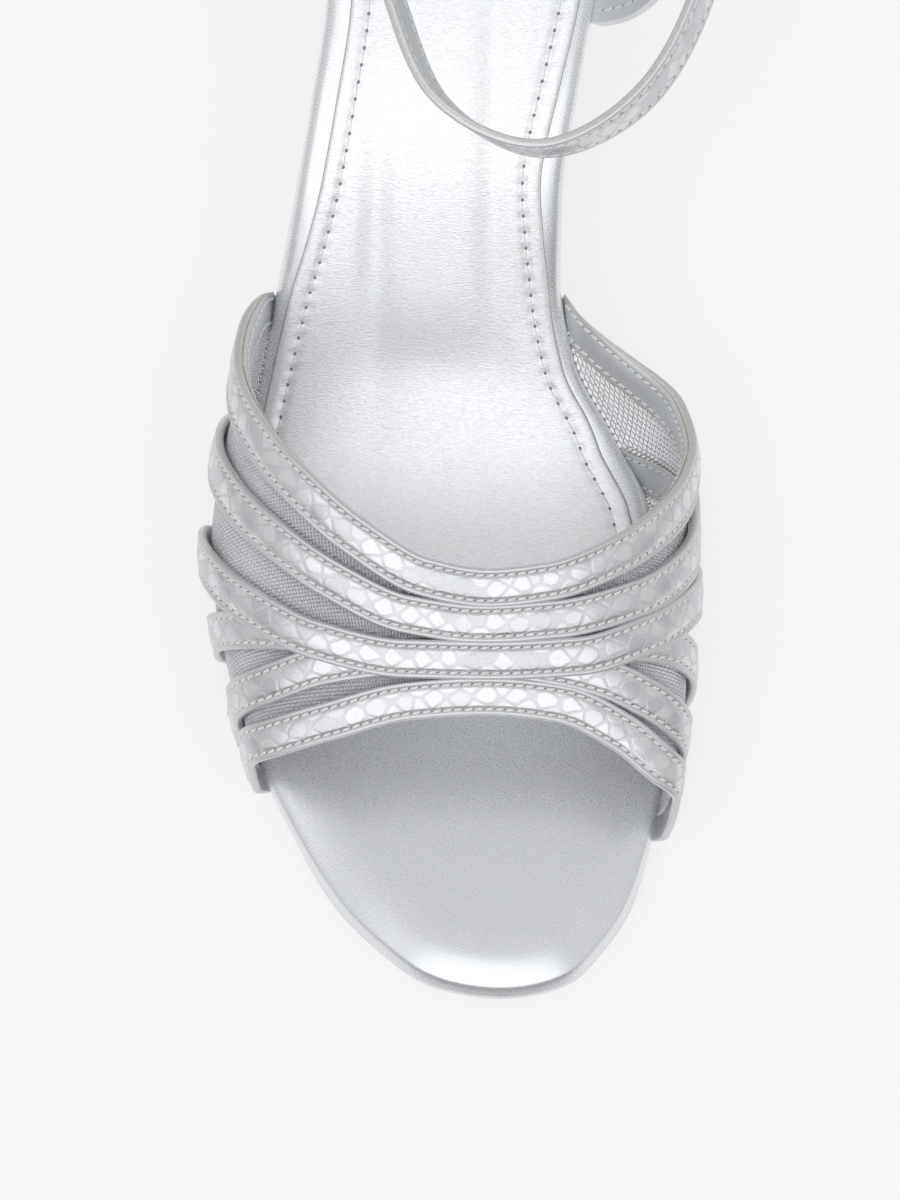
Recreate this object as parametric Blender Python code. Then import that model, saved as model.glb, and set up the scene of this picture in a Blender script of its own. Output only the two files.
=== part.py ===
"""Right-foot strappy sandal: slim heel, mesh vamp under two fans of straps, slack ankle strap.

Sizes are in millimetres and become metres where a mesh is made. The toe points to -Y, the medial
side is +X, and the origin lies on the floor in the middle of the forefoot's flat tread.
In the tables "back" is the distance behind the toe tip and "along" is that distance measured on
the curved footbed. A share of the girth runs from 0 at the lateral edge to 1 at the medial edge.
"""

import math

import bmesh
import bpy
import numpy as np

MM = 0.001


def table(columns, *rows):
    """Named columns of a small design table; the first column is its key."""
    return dict(zip(columns.split(), np.array(rows, float).T))


# Driving dimensions of the sole
LENGTH = 246.0
TOE_TIP = 1.0
TREAD_BACK = 63.0
GAP = 0.3
OUTSOLE_THICKNESS = 2.5
INSOLE_THICKNESS = 6.0
INSOLE_BELT = 3.6
FOOTBED_HEIGHT = OUTSOLE_THICKNESS + GAP + INSOLE_THICKNESS
OUTSOLE_INSET = 2.0
TOE_WALL_ENDS = (14.0, 30.0)
OUTSOLE_END = 197.0
STATIONS = 54
BED_STEP = 0.25
SMOOTH_ANGLE = 40.0

# Slope of the footbed in degrees: toe spring, flat tread, steep shank, heel seat
PITCH = table(
    "along slope",
    (0, -13), (14, -9), (30, -4), (46, 0), (80, 0), (94, 9), (108, 28), (120, 42),
    (134, 47), (148, 42), (162, 30), (178, 20), (200, 15), (224, 12), (LENGTH, 10),
)
# Outer edge of the insole on both sides
OUTLINE = table(
    "along lateral medial",
    (TOE_TIP, 9.0, 9.0), (4.1, -5.0, 21.4), (9, -11.5, 26.2), (17.8, -20.0, 32.0), (30.5, -27.8, 36.0),
    (46, -34.8, 38.5), (62, -39.2, 39.6), (76, -40.8, 39.2), (92, -39.4, 36.4), (104, -36.6, 30.0),
    (118, -33.6, 22.4), (134, -30.6, 19.9), (150, -27.6, 20.1), (168, -24.5, 22.6),
    (185, -22.0, 25.5), (200, -21.4, 27.6), (215, -21.6, 28.3), (230, -18.0, 24.6),
    (240, -10.5, 17.4), (LENGTH, 3.5, 3.5),
)
# Rings of each sole piece from its underside to its top: inset from the outline and depth under the footbed.
# Round the toe the insole's edge is an upright wall with rings of its own.
INSOLE_RINGS = table(
    "inset depth toe_inset toe_depth",
    (3.2, INSOLE_THICKNESS, 1.0, INSOLE_THICKNESS), (1.2, 5.5, 0.3, 5.7), (0.25, 4.6, 0.0, 5.1),
    (0.0, INSOLE_BELT, 0.15, INSOLE_BELT), (0.5, 2.0, 0.7, 2.7), (1.7, 0.8, 1.7, 2.0), (4.8, 0.0, 4.8, 0.7),
)
OUTSOLE_RINGS = table(
    "inset depth",
    (1.0, FOOTBED_HEIGHT), (0.2, 8.5), (0.0, 7.8), (0.0, INSOLE_THICKNESS + GAP),
)
SOCK_RINGS = table("inset depth", (0.4, -GAP), (0.0, -0.6), (0.0, -1.1), (0.6, -1.5))
SOCK_INSET = 4.5
SOCK_START = 66.0
SOCK_ROUND = 14.0
SOCK_CROWDING = 1.3

# Forefoot of the last: half widths at the belt and the crown's height over the footbed
LAST = table(
    "back lateral medial crown",
    (26, 27.6, 36.6, 14.0), (40, 33.4, 39.2, 21.0), (54, 37.5, 41.2, 28.5), (68, 41.0, 41.8, 35.5),
    (80, 42.0, 42.0, 41.5), (92, 40.8, 42.0, 47.0), (104, 37.8, 39.5, 52.0), (114, 35.2, 33.6, 56.0),
    (122, 33.0, 27.5, 58.0), (130, 31.4, 23.5, 60.0),
)
BELT_HEIGHT = 11.0
CROWN_OFFSET = 4.0
CROWN_POWER = 2.25
LAST_REST = 0.35
LAST_START = 18
LAST_END = 135
FLANK_POINTS = 12
CROWN_POINTS = 40
GIRTH_POINTS = 161
SLOPE_BACK = 1.0
SLOPE_SHARE = 0.008
SHIFT_ROUNDS = 3

# Strap centre lines: share of the girth and distance behind the toe
ROUTES = {
    "collar": table(
        "share back",
        (0, 124), (0.06, 120.5), (0.12, 113.5), (0.18, 104.5), (0.24, 95), (0.30, 84.5), (0.38, 73),
        (0.46, 66.2), (0.54, 64.4), (0.62, 65.7), (0.70, 70.5), (0.78, 80), (0.85, 93), (0.91, 106),
        (0.96, 116), (1, 122.6),
    ),
    "second": table(
        "share back",
        (0, 104), (0.06, 102), (0.12, 97), (0.19, 87.5), (0.26, 76.5), (0.34, 66.8), (0.43, 60.5),
        (0.53, 58.8), (0.63, 59.8), (0.74, 64.5), (0.82, 72.8), (0.89, 83.5), (0.95, 93), (1, 99),
    ),
    "third": table(
        "share back",
        (0, 85), (0.07, 81.5), (0.14, 75), (0.21, 66), (0.30, 57.5), (0.42, 53.6), (0.54, 53.2),
        (0.66, 54.2), (0.76, 59), (0.84, 66.5), (0.92, 74), (1, 79),
    ),
    "toe": table(
        "share back",
        (0, 42.5), (0.08, 42.2), (0.17, 42.2), (0.28, 44), (0.42, 47), (0.53, 47.6), (0.64, 46.7),
        (0.74, 42.6), (0.83, 37), (0.92, 34), (1, 33.5),
    ),
    "front_lateral": table("share back", (0, 50.8), (0.1, 50.2), (0.2, 50.9), (0.3, 53), (0.4, 54)),
    "front_medial": table(
        "share back", (0.56, 53.4), (0.62, 52.6), (0.70, 51), (0.78, 48), (0.86, 44.4), (0.93, 42.6), (1, 42)
    ),
    "mid_lateral": table("share back", (0, 67), (0.1, 64), (0.2, 60.8), (0.28, 58.8)),
    "mid_medial": table("share back", (0.72, 57), (0.80, 57.6), (0.88, 56.6), (0.94, 56.2), (1, 57)),
}
# Distance of each strap's inner and outer face from the last, and its stations
LAYERS = {
    "collar": (1.2, 2.85, 38),
    "second": (1.1, 2.7, 36),
    "third": (1.35, 3.0, 34),
    "toe": (1.05, 2.5, 32),
    "front_lateral": (1.0, 2.35, 14),
    "front_medial": (1.0, 2.35, 14),
    "mid_lateral": (1.15, 2.45, 12),
    "mid_medial": (1.15, 2.45, 10),
}
STRAP_WIDTH = 6.8
# Strap section: across in half widths, layer from the inner face (0) to the outer face (1)
STRAP_SECTION = table(
    "across layer",
    (-0.9, 0), (0, 0), (0.9, 0), (1, 0.5), (0.84, 1), (0, 1), (-0.84, 1), (-1, 0.5),
)
# Strap ends: stations spread up to the insole's edge, turn under it, and share of the thickness left there
END_STATIONS = 5
EDGE_NEAR = 0.0005
TUCK_ANGLE = 64.0
TUCK_STEPS = 3
TUCK_RADIUS = 2.6
TUCK_SKIVE = 0.75
MESH_THICKNESS = 0.5
MESH_ROWS = 34
MESH_COLUMNS = 14

# Ankle strap: across, back and height of its centre line, and its lean, positive where it faces up
ANKLE_ROWS = {
    "hinge": (-15.2, 164.0, 109.5, -24.0),
    "lateral_side": (-18.8, 177.5, 112.9, -16.0),
    "lateral_wing": (-21.5, 190.0, 116.0, -6.0),
    "lateral_back": (-14.0, 219.0, 122.0, -4.0),
    "back": (8.0, 230.5, 124.5, -4.0),
    "medial_back": (31.0, 219.0, 122.5, 0.0),
    "medial_wing": (46.5, 178.0, 115.5, 6.0),
    "medial_side": (43.5, 151.0, 109.0, 22.0),
    "medial_front": (33.0, 130.0, 103.0, 16.0),
    "front": (15.5, 121.0, 100.0, -8.0),
    "lateral_front": (-1.5, 129.0, 101.5, -26.0),
    "lateral_leg": (-9.8, 147.5, 105.4, -28.0),
}
ANKLE_WIDTH = 7.0
ANKLE_THICKNESS = 1.6
ANKLE_STEP = 6.0
SPLINE_STEPS = 40
TANGENT_REACH = 2.0
TONGUE_LENGTH = 32.0
TONGUE_TAPER = 5.0
TONGUE_TIP = 0.4
TONGUE_LIFT = 2.1

# Buckle: the hinge bar lies on the strap's centre line, the far bar over the tongue
WIRE_RADIUS = 0.85
FRAME_LENGTH = 11.0
FRAME_WIDTH = 10.6
FRAME_CORNER = 1.8
WIRE_SIDES = 8
PRONG_RADIUS = 0.6
PRONG_DROP = 0.2
PRONG_LIFT = 0.4
PRONG_OVERHANG = 1.6
PRONG_ROOT = 0.8
PRONG_POINT = 0.55
SLOT_LENGTH = 6.4
SLOT_WIDTH = 2.0
SLOT_BACK = 4.8
SLOT_SIDES = 12
SLOT_LAYERS = (-4.0, 6.0)
KEEPER_AT = 15.0
KEEPER_LENGTH = 5.0
KEEPER_WALL = 1.2

# Heel counter: where its wings leave the footbed, its wall, and its flare in the three main directions
COUNTER_LATERAL = 192.0
COUNTER_MEDIAL = 181.0
COUNTER_WALL = 1.8
COUNTER_FOOT = 4.4
COUNTER_COLUMNS = 26
COUNTER_ROWS = 7
COUNTER_FLARE = table(
    "share outward forward rise",
    (0, 14, 0, 42), (0.25, 16, 0, 46), (0.5, 12, 0, 46), (0.75, 22, 0, 40), (1, 56, 0, 25),
)
COUNTER_TOP_PULL = 34.0
COUNTER_MARGIN = 4.2

# Heel: from the heel seat down to the top piece
HEEL_START = OUTSOLE_END + GAP
HEEL_END = 244.0
HEEL_INSET = 1.6
HEEL_STATIONS = 14
HEEL_LEVELS = (0.0, 0.06, 0.14, 0.26, 0.42, 0.6, 0.8, 1.0)
HEEL_CURVE = 2.6
TOP_PIECE_FRONT = 196.0
TOP_PIECE_LENGTH = 25.0
TOP_PIECE_WIDTH = 24.0
TOP_PIECE_CENTRE = 3.5
TOP_PIECE_HEIGHT = 5.0
TOP_PIECE_EDGE = 0.5


def flow(keys, values, at):
    """Monotone cubic through the values at the keys, held level past the ends."""
    step = np.diff(keys)
    rate = np.diff(values) / step
    slope = np.concatenate([[rate[0]], np.zeros(len(keys) - 2), [rate[-1]]])
    for i in range(1, len(keys) - 1):
        if rate[i - 1] * rate[i] > 0:
            before = 2 * step[i] + step[i - 1]
            after = step[i] + 2 * step[i - 1]
            slope[i] = (before + after) / (before / rate[i - 1] + after / rate[i])
    at = np.clip(np.asarray(at, float), keys[0], keys[-1])
    i = np.clip(np.searchsorted(keys, at, side="right") - 1, 0, len(keys) - 2)
    t = (at - keys[i]) / step[i]
    start = (1 + 2 * t) * (1 - t) ** 2 * values[i] + t * (1 - t) ** 2 * step[i] * slope[i]
    end = t * t * (3 - 2 * t) * values[i + 1] - t * t * (1 - t) * step[i] * slope[i + 1]
    return start + end


def unit(vectors):
    """Vectors scaled to length one."""
    return vectors / np.linalg.norm(vectors, axis=-1, keepdims=True)


def circle(count):
    """Angles of evenly spaced points round a circle."""
    return np.arange(count) * 2 * math.pi / count


def footbed_line():
    """The footbed's side view: distance along it, distance behind the toe, height and slope."""
    along = np.linspace(0, LENGTH, round(LENGTH / BED_STEP) + 1)
    slope = np.radians(flow(PITCH["along"], PITCH["slope"], along))
    step = along[1] - along[0]
    middle = (slope[1:] + slope[:-1]) / 2
    back = np.concatenate([[0], np.cumsum(np.cos(middle) * step)])
    height = np.concatenate([[0], np.cumsum(np.sin(middle) * step)])
    return along, back, height - height.min() + FOOTBED_HEIGHT, slope


BED_ALONG, BED_BACK, BED_HEIGHT, BED_SLOPE = footbed_line()


def bed_points(along, across, depth):
    """Points under the footbed line at a depth square to it."""
    slope = np.interp(along, BED_ALONG, BED_SLOPE)
    back = np.interp(along, BED_ALONG, BED_BACK) + depth * np.sin(slope)
    height = np.interp(along, BED_ALONG, BED_HEIGHT) - depth * np.cos(slope)
    return np.stack(np.broadcast_arrays(across, back, height), -1).astype(float)


def end_angle(along):
    """Angle that runs from 0 at the toe tip to pi at the heel and rounds both ends of the outline."""
    share = (np.asarray(along, float) - TOE_TIP) / (LENGTH - TOE_TIP)
    return np.arccos(np.clip(1 - 2 * share, -1, 1))


def end_place(angle):
    """Distance along the footbed at an end angle."""
    return TOE_TIP + (LENGTH - TOE_TIP) * (1 - np.cos(angle)) / 2


def outline_edges(along):
    """Lateral and medial edge of the insole."""
    keys = end_angle(OUTLINE["along"])
    at = end_angle(along)
    return flow(keys, OUTLINE["lateral"], at), flow(keys, OUTLINE["medial"], at)


def outline_chain(start, end, count):
    """Stations of the outline between two places, close together where the outline turns."""
    along = end_place(np.linspace(end_angle(start), end_angle(end), count))
    lateral, medial = outline_edges(along)
    return along, lateral, medial


def outline_loop(chain):
    """The outline as one loop of (along, across), with each station's place on both sides of it."""
    along, lateral, medial = chain
    count = len(along)
    first = 1 if medial[0] - lateral[0] < GAP else 0
    last = count - 1 if medial[-1] - lateral[-1] < GAP else count
    left = np.stack([along, lateral], -1)
    right = np.stack([along, medial], -1)[first:last][::-1]
    left_index = list(range(count))
    right_index = [count + last - 1 - i for i in range(count)]
    if first:
        right_index[0] = 0
    if last < count:
        right_index[-1] = count - 1
    return np.concatenate([left, right]), left_index, right_index


def inset_loop(loop, inset):
    """The loop moved inward by a distance."""
    ahead = unit(np.roll(loop, -1, axis=0) - loop)
    behind = unit(loop - np.roll(loop, 1, axis=0))
    tangent = unit(ahead + behind)
    inward = np.stack([-tangent[:, 1], tangent[:, 0]], -1)
    return loop + inward * np.reshape(inset, (-1, 1))


def cap_faces(left, right, start):
    """Cross strips that close a ring of an outline."""
    faces = []
    for i in range(len(left) - 1):
        corners = (left[i], right[i], right[i + 1], left[i + 1])
        faces.append([start + c for c in dict.fromkeys(corners)])
    return faces


def ring_faces(rings, count):
    """Quads between rings of the same number of points."""
    faces = []
    for r in range(rings - 1):
        low = r * count
        high = low + count
        for i in range(count):
            j = (i + 1) % count
            faces.append([low + i, low + j, high + j, high + i])
    return faces


def finish(name, colour, roughness, metallic):
    """Principled material of one piece."""
    material = bpy.data.materials.new(name)
    material.use_nodes = True
    shader = material.node_tree.nodes["Principled BSDF"]
    shader.inputs["Base Color"].default_value = (*colour, 1.0)
    shader.inputs["Roughness"].default_value = roughness
    shader.inputs["Metallic"].default_value = metallic
    material.diffuse_color = (*colour, 1.0)
    return material


def wall_faces(rings, height):
    """Faces of a thin wall whose rings run along one face and back along the other."""
    faces = ring_faces(rings, 2 * height)
    for start in (0, (rings - 1) * 2 * height):
        for i in range(height - 1):
            far = 2 * height - 1 - i
            faces.append([start + i, start + i + 1, start + far - 1, start + far])
    return faces


def solid(name, points, faces, material):
    """Object with a closed mesh, its faces turned outward."""
    placed = (np.asarray(points, float) - (0.0, TREAD_BACK, 0.0)) * MM
    bm = bmesh.new()
    corners = [bm.verts.new(p) for p in placed]
    for face in faces:
        bm.faces.new([corners[i] for i in face])
    bmesh.ops.recalc_face_normals(bm, faces=bm.faces)
    mesh = bpy.data.meshes.new(name)
    bm.to_mesh(mesh)
    bm.free()
    mesh.shade_smooth()
    mesh.set_sharp_from_angle(angle=math.radians(SMOOTH_ANGLE))
    mesh.materials.append(material)
    piece = bpy.data.objects.new(name, mesh)
    bpy.context.collection.objects.link(piece)
    return piece


def loft(name, rings, material):
    """Closed body through rings of points, with a flat cap at both ends."""
    rings = np.asarray(rings)
    count = rings.shape[1]
    faces = ring_faces(len(rings), count)
    faces.append(list(range(count)))
    faces.append([(len(rings) - 1) * count + i for i in range(count)])
    return solid(name, rings.reshape(-1, 3), faces, material)


def hoop(name, rings, material):
    """Closed body through a circle of rings, the last one joined to the first."""
    points = np.concatenate(rings)
    faces = ring_faces(len(rings) + 1, len(rings[0]))
    return solid(name, points, [[i % len(points) for i in face] for face in faces], material)


def stack(name, rings, left, right, material):
    """Closed body through rings of an outline, capped by cross strips."""
    count = len(rings[0])
    faces = ring_faces(len(rings), count)
    faces += cap_faces(left, right, 0)
    faces += cap_faces(left, right, count * (len(rings) - 1))
    return solid(name, np.concatenate(rings), faces, material)


def combine(piece, other, operation):
    """Boolean modifier that joins or cuts a piece with another one, which then only guides it."""
    other.hide_render = True
    other.display_type = "WIRE"
    step = piece.modifiers.new(other.name, "BOOLEAN")
    step.operation = operation
    step.solver = "EXACT"
    step.object = other


def toe_share(along):
    """Share of the toe's own edge: 1 round the toe and 0 from its straps on."""
    t = np.clip((TOE_WALL_ENDS[1] - along) / (TOE_WALL_ENDS[1] - TOE_WALL_ENDS[0]), 0, 1)
    return t * t * (3 - 2 * t)


def sole_piece(name, chain, rings, material):
    """Body between rings that follow an outline of the sole."""
    loop, left, right = outline_loop(chain)
    toe = toe_share(loop[:, 0])
    points = []
    for row in zip(*rings.values()):
        inset, depth, toe_inset, toe_depth = row if "toe_inset" in rings else row * 2
        along, across = inset_loop(loop, inset + (toe_inset - inset) * toe).T
        points.append(bed_points(along, across, depth + (toe_depth - depth) * toe))
    return stack(name, points, left, right, material)


def make_insole(material):
    """Covered footbed board with a rounded edge and an upright toe wall."""
    return sole_piece("insole", outline_chain(TOE_TIP, LENGTH, STATIONS), INSOLE_RINGS, material)


def make_outsole(material):
    """Thin sole under the insole, from the toe to the heel's front face."""
    along, lateral, medial = outline_chain(TOE_TIP, LENGTH, 2 * STATIONS)
    loop, left, right = outline_loop((along, lateral, medial))
    inner = inset_loop(loop, OUTSOLE_INSET)
    stations = end_place(np.linspace(end_angle(inner[0, 0]), end_angle(OUTSOLE_END), STATIONS))
    sides = []
    for index in (left, right):
        edge = inner[index]
        sides.append(np.interp(end_angle(stations), end_angle(edge[:, 0]), edge[:, 1]))
    return sole_piece("outsole", (stations, *sides), OUTSOLE_RINGS, material)


def make_sock(material):
    """Stitched lining on the footbed, from under the straps to the heel."""
    loop, left, right = outline_loop(outline_chain(TOE_TIP, LENGTH, 2 * STATIONS))
    inner = inset_loop(loop, SOCK_INSET)
    start, end = end_angle(SOCK_START), end_angle(inner[left[-1], 0])
    turn = np.linspace(0, 1, STATIONS) ** SOCK_CROWDING
    stations = end_place(start + (end - start) * turn)
    stations[-1] = inner[left[-1], 0]
    sides = [np.interp(stations, inner[index, 0], inner[index, 1]) for index in (left, right)]
    middle = (sides[0] + sides[1]) / 2
    nose = np.clip((stations - SOCK_START) / SOCK_ROUND, 0, 1)
    spread = np.sqrt(1 - (1 - nose) ** 2)
    rounded = [middle + (side - middle) * spread for side in sides]
    return sole_piece("sock", (stations, *rounded), SOCK_RINGS, material)


def last_section(back):
    """Girth line of the last in one upright plane, from the lateral to the medial edge of the insole."""
    bed = np.interp(back, BED_BACK, BED_HEIGHT)
    belt_line = bed_points(BED_ALONG, 0.0, INSOLE_BELT)
    drop = bed - np.interp(back, belt_line[:, 1], belt_line[:, 2])
    edge_lateral, edge_medial = outline_edges(np.interp(back, belt_line[:, 1], BED_ALONG))
    crown = flow(LAST["back"], LAST["crown"], back) - BELT_HEIGHT
    rise = np.linspace(0, 1, FLANK_POINTS)
    turn = np.linspace(0, math.pi / 2, CROWN_POINTS)[1:]
    halves = []
    for side, edge in (("lateral", edge_lateral - LAST_REST), ("medial", edge_medial + LAST_REST)):
        reach = flow(LAST["back"], LAST[side], back)
        wide = -reach if side == "lateral" else reach
        low_across = edge + (wide - edge) * np.sin(rise * math.pi / 2)
        low_height = bed - drop + (drop + BELT_HEIGHT) * rise
        high_across = CROWN_OFFSET + (wide - CROWN_OFFSET) * np.cos(turn) ** (2 / CROWN_POWER)
        high_height = bed + BELT_HEIGHT + crown * np.sin(turn) ** (2 / CROWN_POWER)
        halves.append(np.stack([np.append(low_across, high_across), np.append(low_height, high_height)], -1))
    line = np.concatenate([halves[0], halves[1][::-1][1:]])
    run = np.concatenate([[0], np.cumsum(np.linalg.norm(np.diff(line, axis=0), axis=1))])
    share = np.linspace(0, 1, GIRTH_POINTS)
    across = np.interp(share, run / run[-1], line[:, 0])
    height = np.interp(share, run / run[-1], line[:, 1])
    return np.stack([across, np.full(GIRTH_POINTS, float(back)), height], -1)


LAST_SHEET = np.array([last_section(back) for back in range(LAST_START, LAST_END + 1)])


def last_points(back, share):
    """Points of the last's surface."""
    row = np.clip(back - LAST_START, 0, len(LAST_SHEET) - 1.001)
    column = np.clip(share * (GIRTH_POINTS - 1), 0, GIRTH_POINTS - 1.001)
    i, j = row.astype(int), column.astype(int)
    p, q = (row - i)[..., None], (column - j)[..., None]
    near = (1 - q) * LAST_SHEET[i, j] + q * LAST_SHEET[i, j + 1]
    far = (1 - q) * LAST_SHEET[i + 1, j] + q * LAST_SHEET[i + 1, j + 1]
    return (1 - p) * near + p * far


def last_slopes(back, share):
    """Change of the last's surface per millimetre behind the toe and per share of the girth."""
    low, high = np.clip(share - SLOPE_SHARE, 0, 1), np.clip(share + SLOPE_SHARE, 0, 1)
    by_back = last_points(back + SLOPE_BACK, share) - last_points(back - SLOPE_BACK, share)
    by_back = by_back / (2 * SLOPE_BACK)
    by_share = (last_points(back, high) - last_points(back, low)) / (high - low)[..., None]
    return by_back, by_share


def last_normals(back, share):
    """Outward normals of the last's surface."""
    by_back, by_share = last_slopes(back, share)
    return unit(np.cross(by_share, by_back))


def beside(back, share, shift):
    """Places on the last at a sideways shift from the places given."""
    target = last_points(back, share) + shift
    for _ in range(SHIFT_ROUNDS):
        by_back, by_share = last_slopes(back, share)
        miss = target - last_points(back, share)
        a = (by_back * by_back).sum(-1)
        b = (by_back * by_share).sum(-1)
        c = (by_share * by_share).sum(-1)
        p = (miss * by_back).sum(-1)
        q = (miss * by_share).sum(-1)
        scale = a * c - b * b
        back = back + (c * p - b * q) / scale
        share = np.clip(share + (a * q - b * p) / scale, 0, 1)
    return back, share


def drawn_to_edge(back, share, edge):
    """A strap line whose last stations are spread anew so that it ends on the insole's edge."""
    end_back, end_share = back[-END_STATIONS:], share[-END_STATIONS:]
    arrived = np.flatnonzero(np.abs(end_share - edge) < EDGE_NEAR)
    if len(arrived):
        end_back, end_share = end_back[: arrived[0] + 1], end_share[: arrived[0] + 1]
    else:
        rate = (end_back[-1] - end_back[-2]) / (end_share[-1] - end_share[-2])
        end_back = np.append(end_back, end_back[-1] + rate * (edge - end_share[-1]))
        end_share = np.append(end_share, edge)
    run = np.linspace(0, 1, len(end_share))
    at = np.linspace(0, 1, END_STATIONS)
    spread = [np.interp(at, run, line) for line in (end_back, end_share)]
    return [np.append(line[:-END_STATIONS], end) for line, end in zip((back, share), spread)]


def strap_rings(route, inner, outer, count):
    """Sections of a strap that lies over the last, turned under the insole where it reaches an edge."""
    share = np.linspace(route["share"][0], route["share"][-1], count)
    back = flow(route["share"], route["back"], share)
    centre = last_points(back, share)
    along = unit(np.gradient(centre, axis=0))
    side = np.cross(last_normals(back, share), along)
    columns = []
    for across, layer in zip(STRAP_SECTION["across"], STRAP_SECTION["layer"]):
        place = beside(back, share, side * (across * STRAP_WIDTH / 2))
        if share[0] == 0:
            place = [line[::-1] for line in drawn_to_edge(place[0][::-1], place[1][::-1], 0)]
        if share[-1] == 1:
            place = drawn_to_edge(*place, 1)
        height = inner + (outer - inner) * layer
        normals = last_normals(*place)
        column = last_points(*place) + normals * height
        if share[0] == 0:
            column = np.concatenate([tuck_points(place, normals, 0, inner, height)[::-1], column])
        if share[-1] == 1:
            column = np.concatenate([column, tuck_points(place, normals, -1, inner, height)])
        columns.append(column)
    return np.stack(columns, 1)


def tuck_points(place, normals, end, inner, height):
    """End of a strap line that turns under the insole's rounded edge and gets thinner."""
    base = last_points(place[0][end], place[1][end])
    normal = normals[end]
    level = np.array([normal[0], normal[1], 0.0])
    start = math.atan2(-normal[2], np.linalg.norm(level))
    level = level / np.linalg.norm(level)
    along = np.interp(place[0][end], BED_BACK, BED_ALONG)
    down = np.array([0.0, 0.0, -1.0]) / math.cos(np.interp(along, BED_ALONG, BED_SLOPE))
    middle = base - (level * math.cos(start) + down * math.sin(start)) * TUCK_RADIUS
    points = []
    for step in range(1, TUCK_STEPS + 1):
        turn = start + (math.radians(TUCK_ANGLE) - start) * step / TUCK_STEPS
        thin = 1 - (1 - TUCK_SKIVE) * step / TUCK_STEPS
        reach = TUCK_RADIUS + inner + (height - inner) * thin
        points.append(middle + (level * math.cos(turn) + down * math.sin(turn)) * reach)
    return np.array(points)


def make_vamp_straps(material):
    """Six straps in two fans over the forefoot, joined where they meet."""
    straps = {}
    for name, route in ROUTES.items():
        inner, outer, count = LAYERS[name]
        straps[name] = loft(name + "_strap", strap_rings(route, inner, outer, count), material)
    upper = straps.pop("third")
    upper.name = "vamp_straps"
    for strap in straps.values():
        combine(upper, strap, "UNION")
    return upper


def make_vamp_mesh(material):
    """Thin woven wall on the last, from the middle of the toe strap to the middle of the collar strap."""
    share = np.linspace(0, 1, MESH_ROWS)
    front = flow(ROUTES["toe"]["share"], ROUTES["toe"]["back"], share)
    rear = flow(ROUTES["collar"]["share"], ROUTES["collar"]["back"], share)
    rings = []
    for i in range(MESH_ROWS):
        back = np.linspace(front[i], rear[i], MESH_COLUMNS)
        across = np.full(MESH_COLUMNS, share[i])
        inside = last_points(back, across)
        outside = inside + last_normals(back, across) * MESH_THICKNESS
        rings.append(np.concatenate([inside, outside[::-1]]))
    return solid("vamp_mesh", np.concatenate(rings), wall_faces(MESH_ROWS, MESH_COLUMNS), material)


def closed_spline(rows, steps):
    """Smooth closed line through rows of values, with the distance of its points along it."""
    rows = np.array(rows, float)
    before, ahead, beyond = np.roll(rows, 1, axis=0), np.roll(rows, -1, axis=0), np.roll(rows, -2, axis=0)
    t = (np.arange(steps) / steps)[:, None]
    pieces = []
    for a, b, c, d in zip(before, rows, ahead, beyond):
        pull = (c - a) * t + (2 * a - 5 * b + 4 * c - d) * t**2 + (3 * b - a - 3 * c + d) * t**3
        pieces.append(b + pull / 2)
    line = np.concatenate(pieces + [rows[:1]])
    run = np.concatenate([[0], np.cumsum(np.linalg.norm(np.diff(line[:, :3], axis=0), axis=1))])
    return line, run


ANKLE_LINE, ANKLE_RUN = closed_spline(list(ANKLE_ROWS.values()), SPLINE_STEPS)
ANKLE_GIRTH = ANKLE_RUN[-1]


def ankle_run(name):
    """Distance of a named row from the hinge bar along the ankle strap."""
    return ANKLE_RUN[SPLINE_STEPS * list(ANKLE_ROWS).index(name)]


def ankle_frames(run):
    """Centre, direction, outward normal and upward side of the ankle strap."""
    turn = np.mod(run, ANKLE_GIRTH)
    centre = np.stack([np.interp(turn, ANKLE_RUN, ANKLE_LINE[:, i]) for i in range(3)], -1)
    lean = np.radians(np.interp(turn, ANKLE_RUN, ANKLE_LINE[:, 3]))[:, None]
    ahead = np.mod(run + TANGENT_REACH, ANKLE_GIRTH)
    behind = np.mod(run - TANGENT_REACH, ANKLE_GIRTH)
    line = [np.interp(ahead, ANKLE_RUN, c) - np.interp(behind, ANKLE_RUN, c) for c in ANKLE_LINE.T[:3]]
    along = unit(np.stack(line, -1))
    level = unit(np.cross((0.0, 0.0, 1.0), along))
    upright = np.cross(along, level)
    outward = level * np.cos(lean) + upright * np.sin(lean)
    return centre, along, outward, np.cross(along, outward)


def ankle_lift(run):
    """Outward shift of the tongue, which passes under the far bar and over the hinge bar."""
    start = ANKLE_GIRTH - FRAME_LENGTH
    t = np.clip((run - start) / (FRAME_LENGTH - WIRE_RADIUS - GAP), 0, 1)
    return TONGUE_LIFT * t


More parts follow.
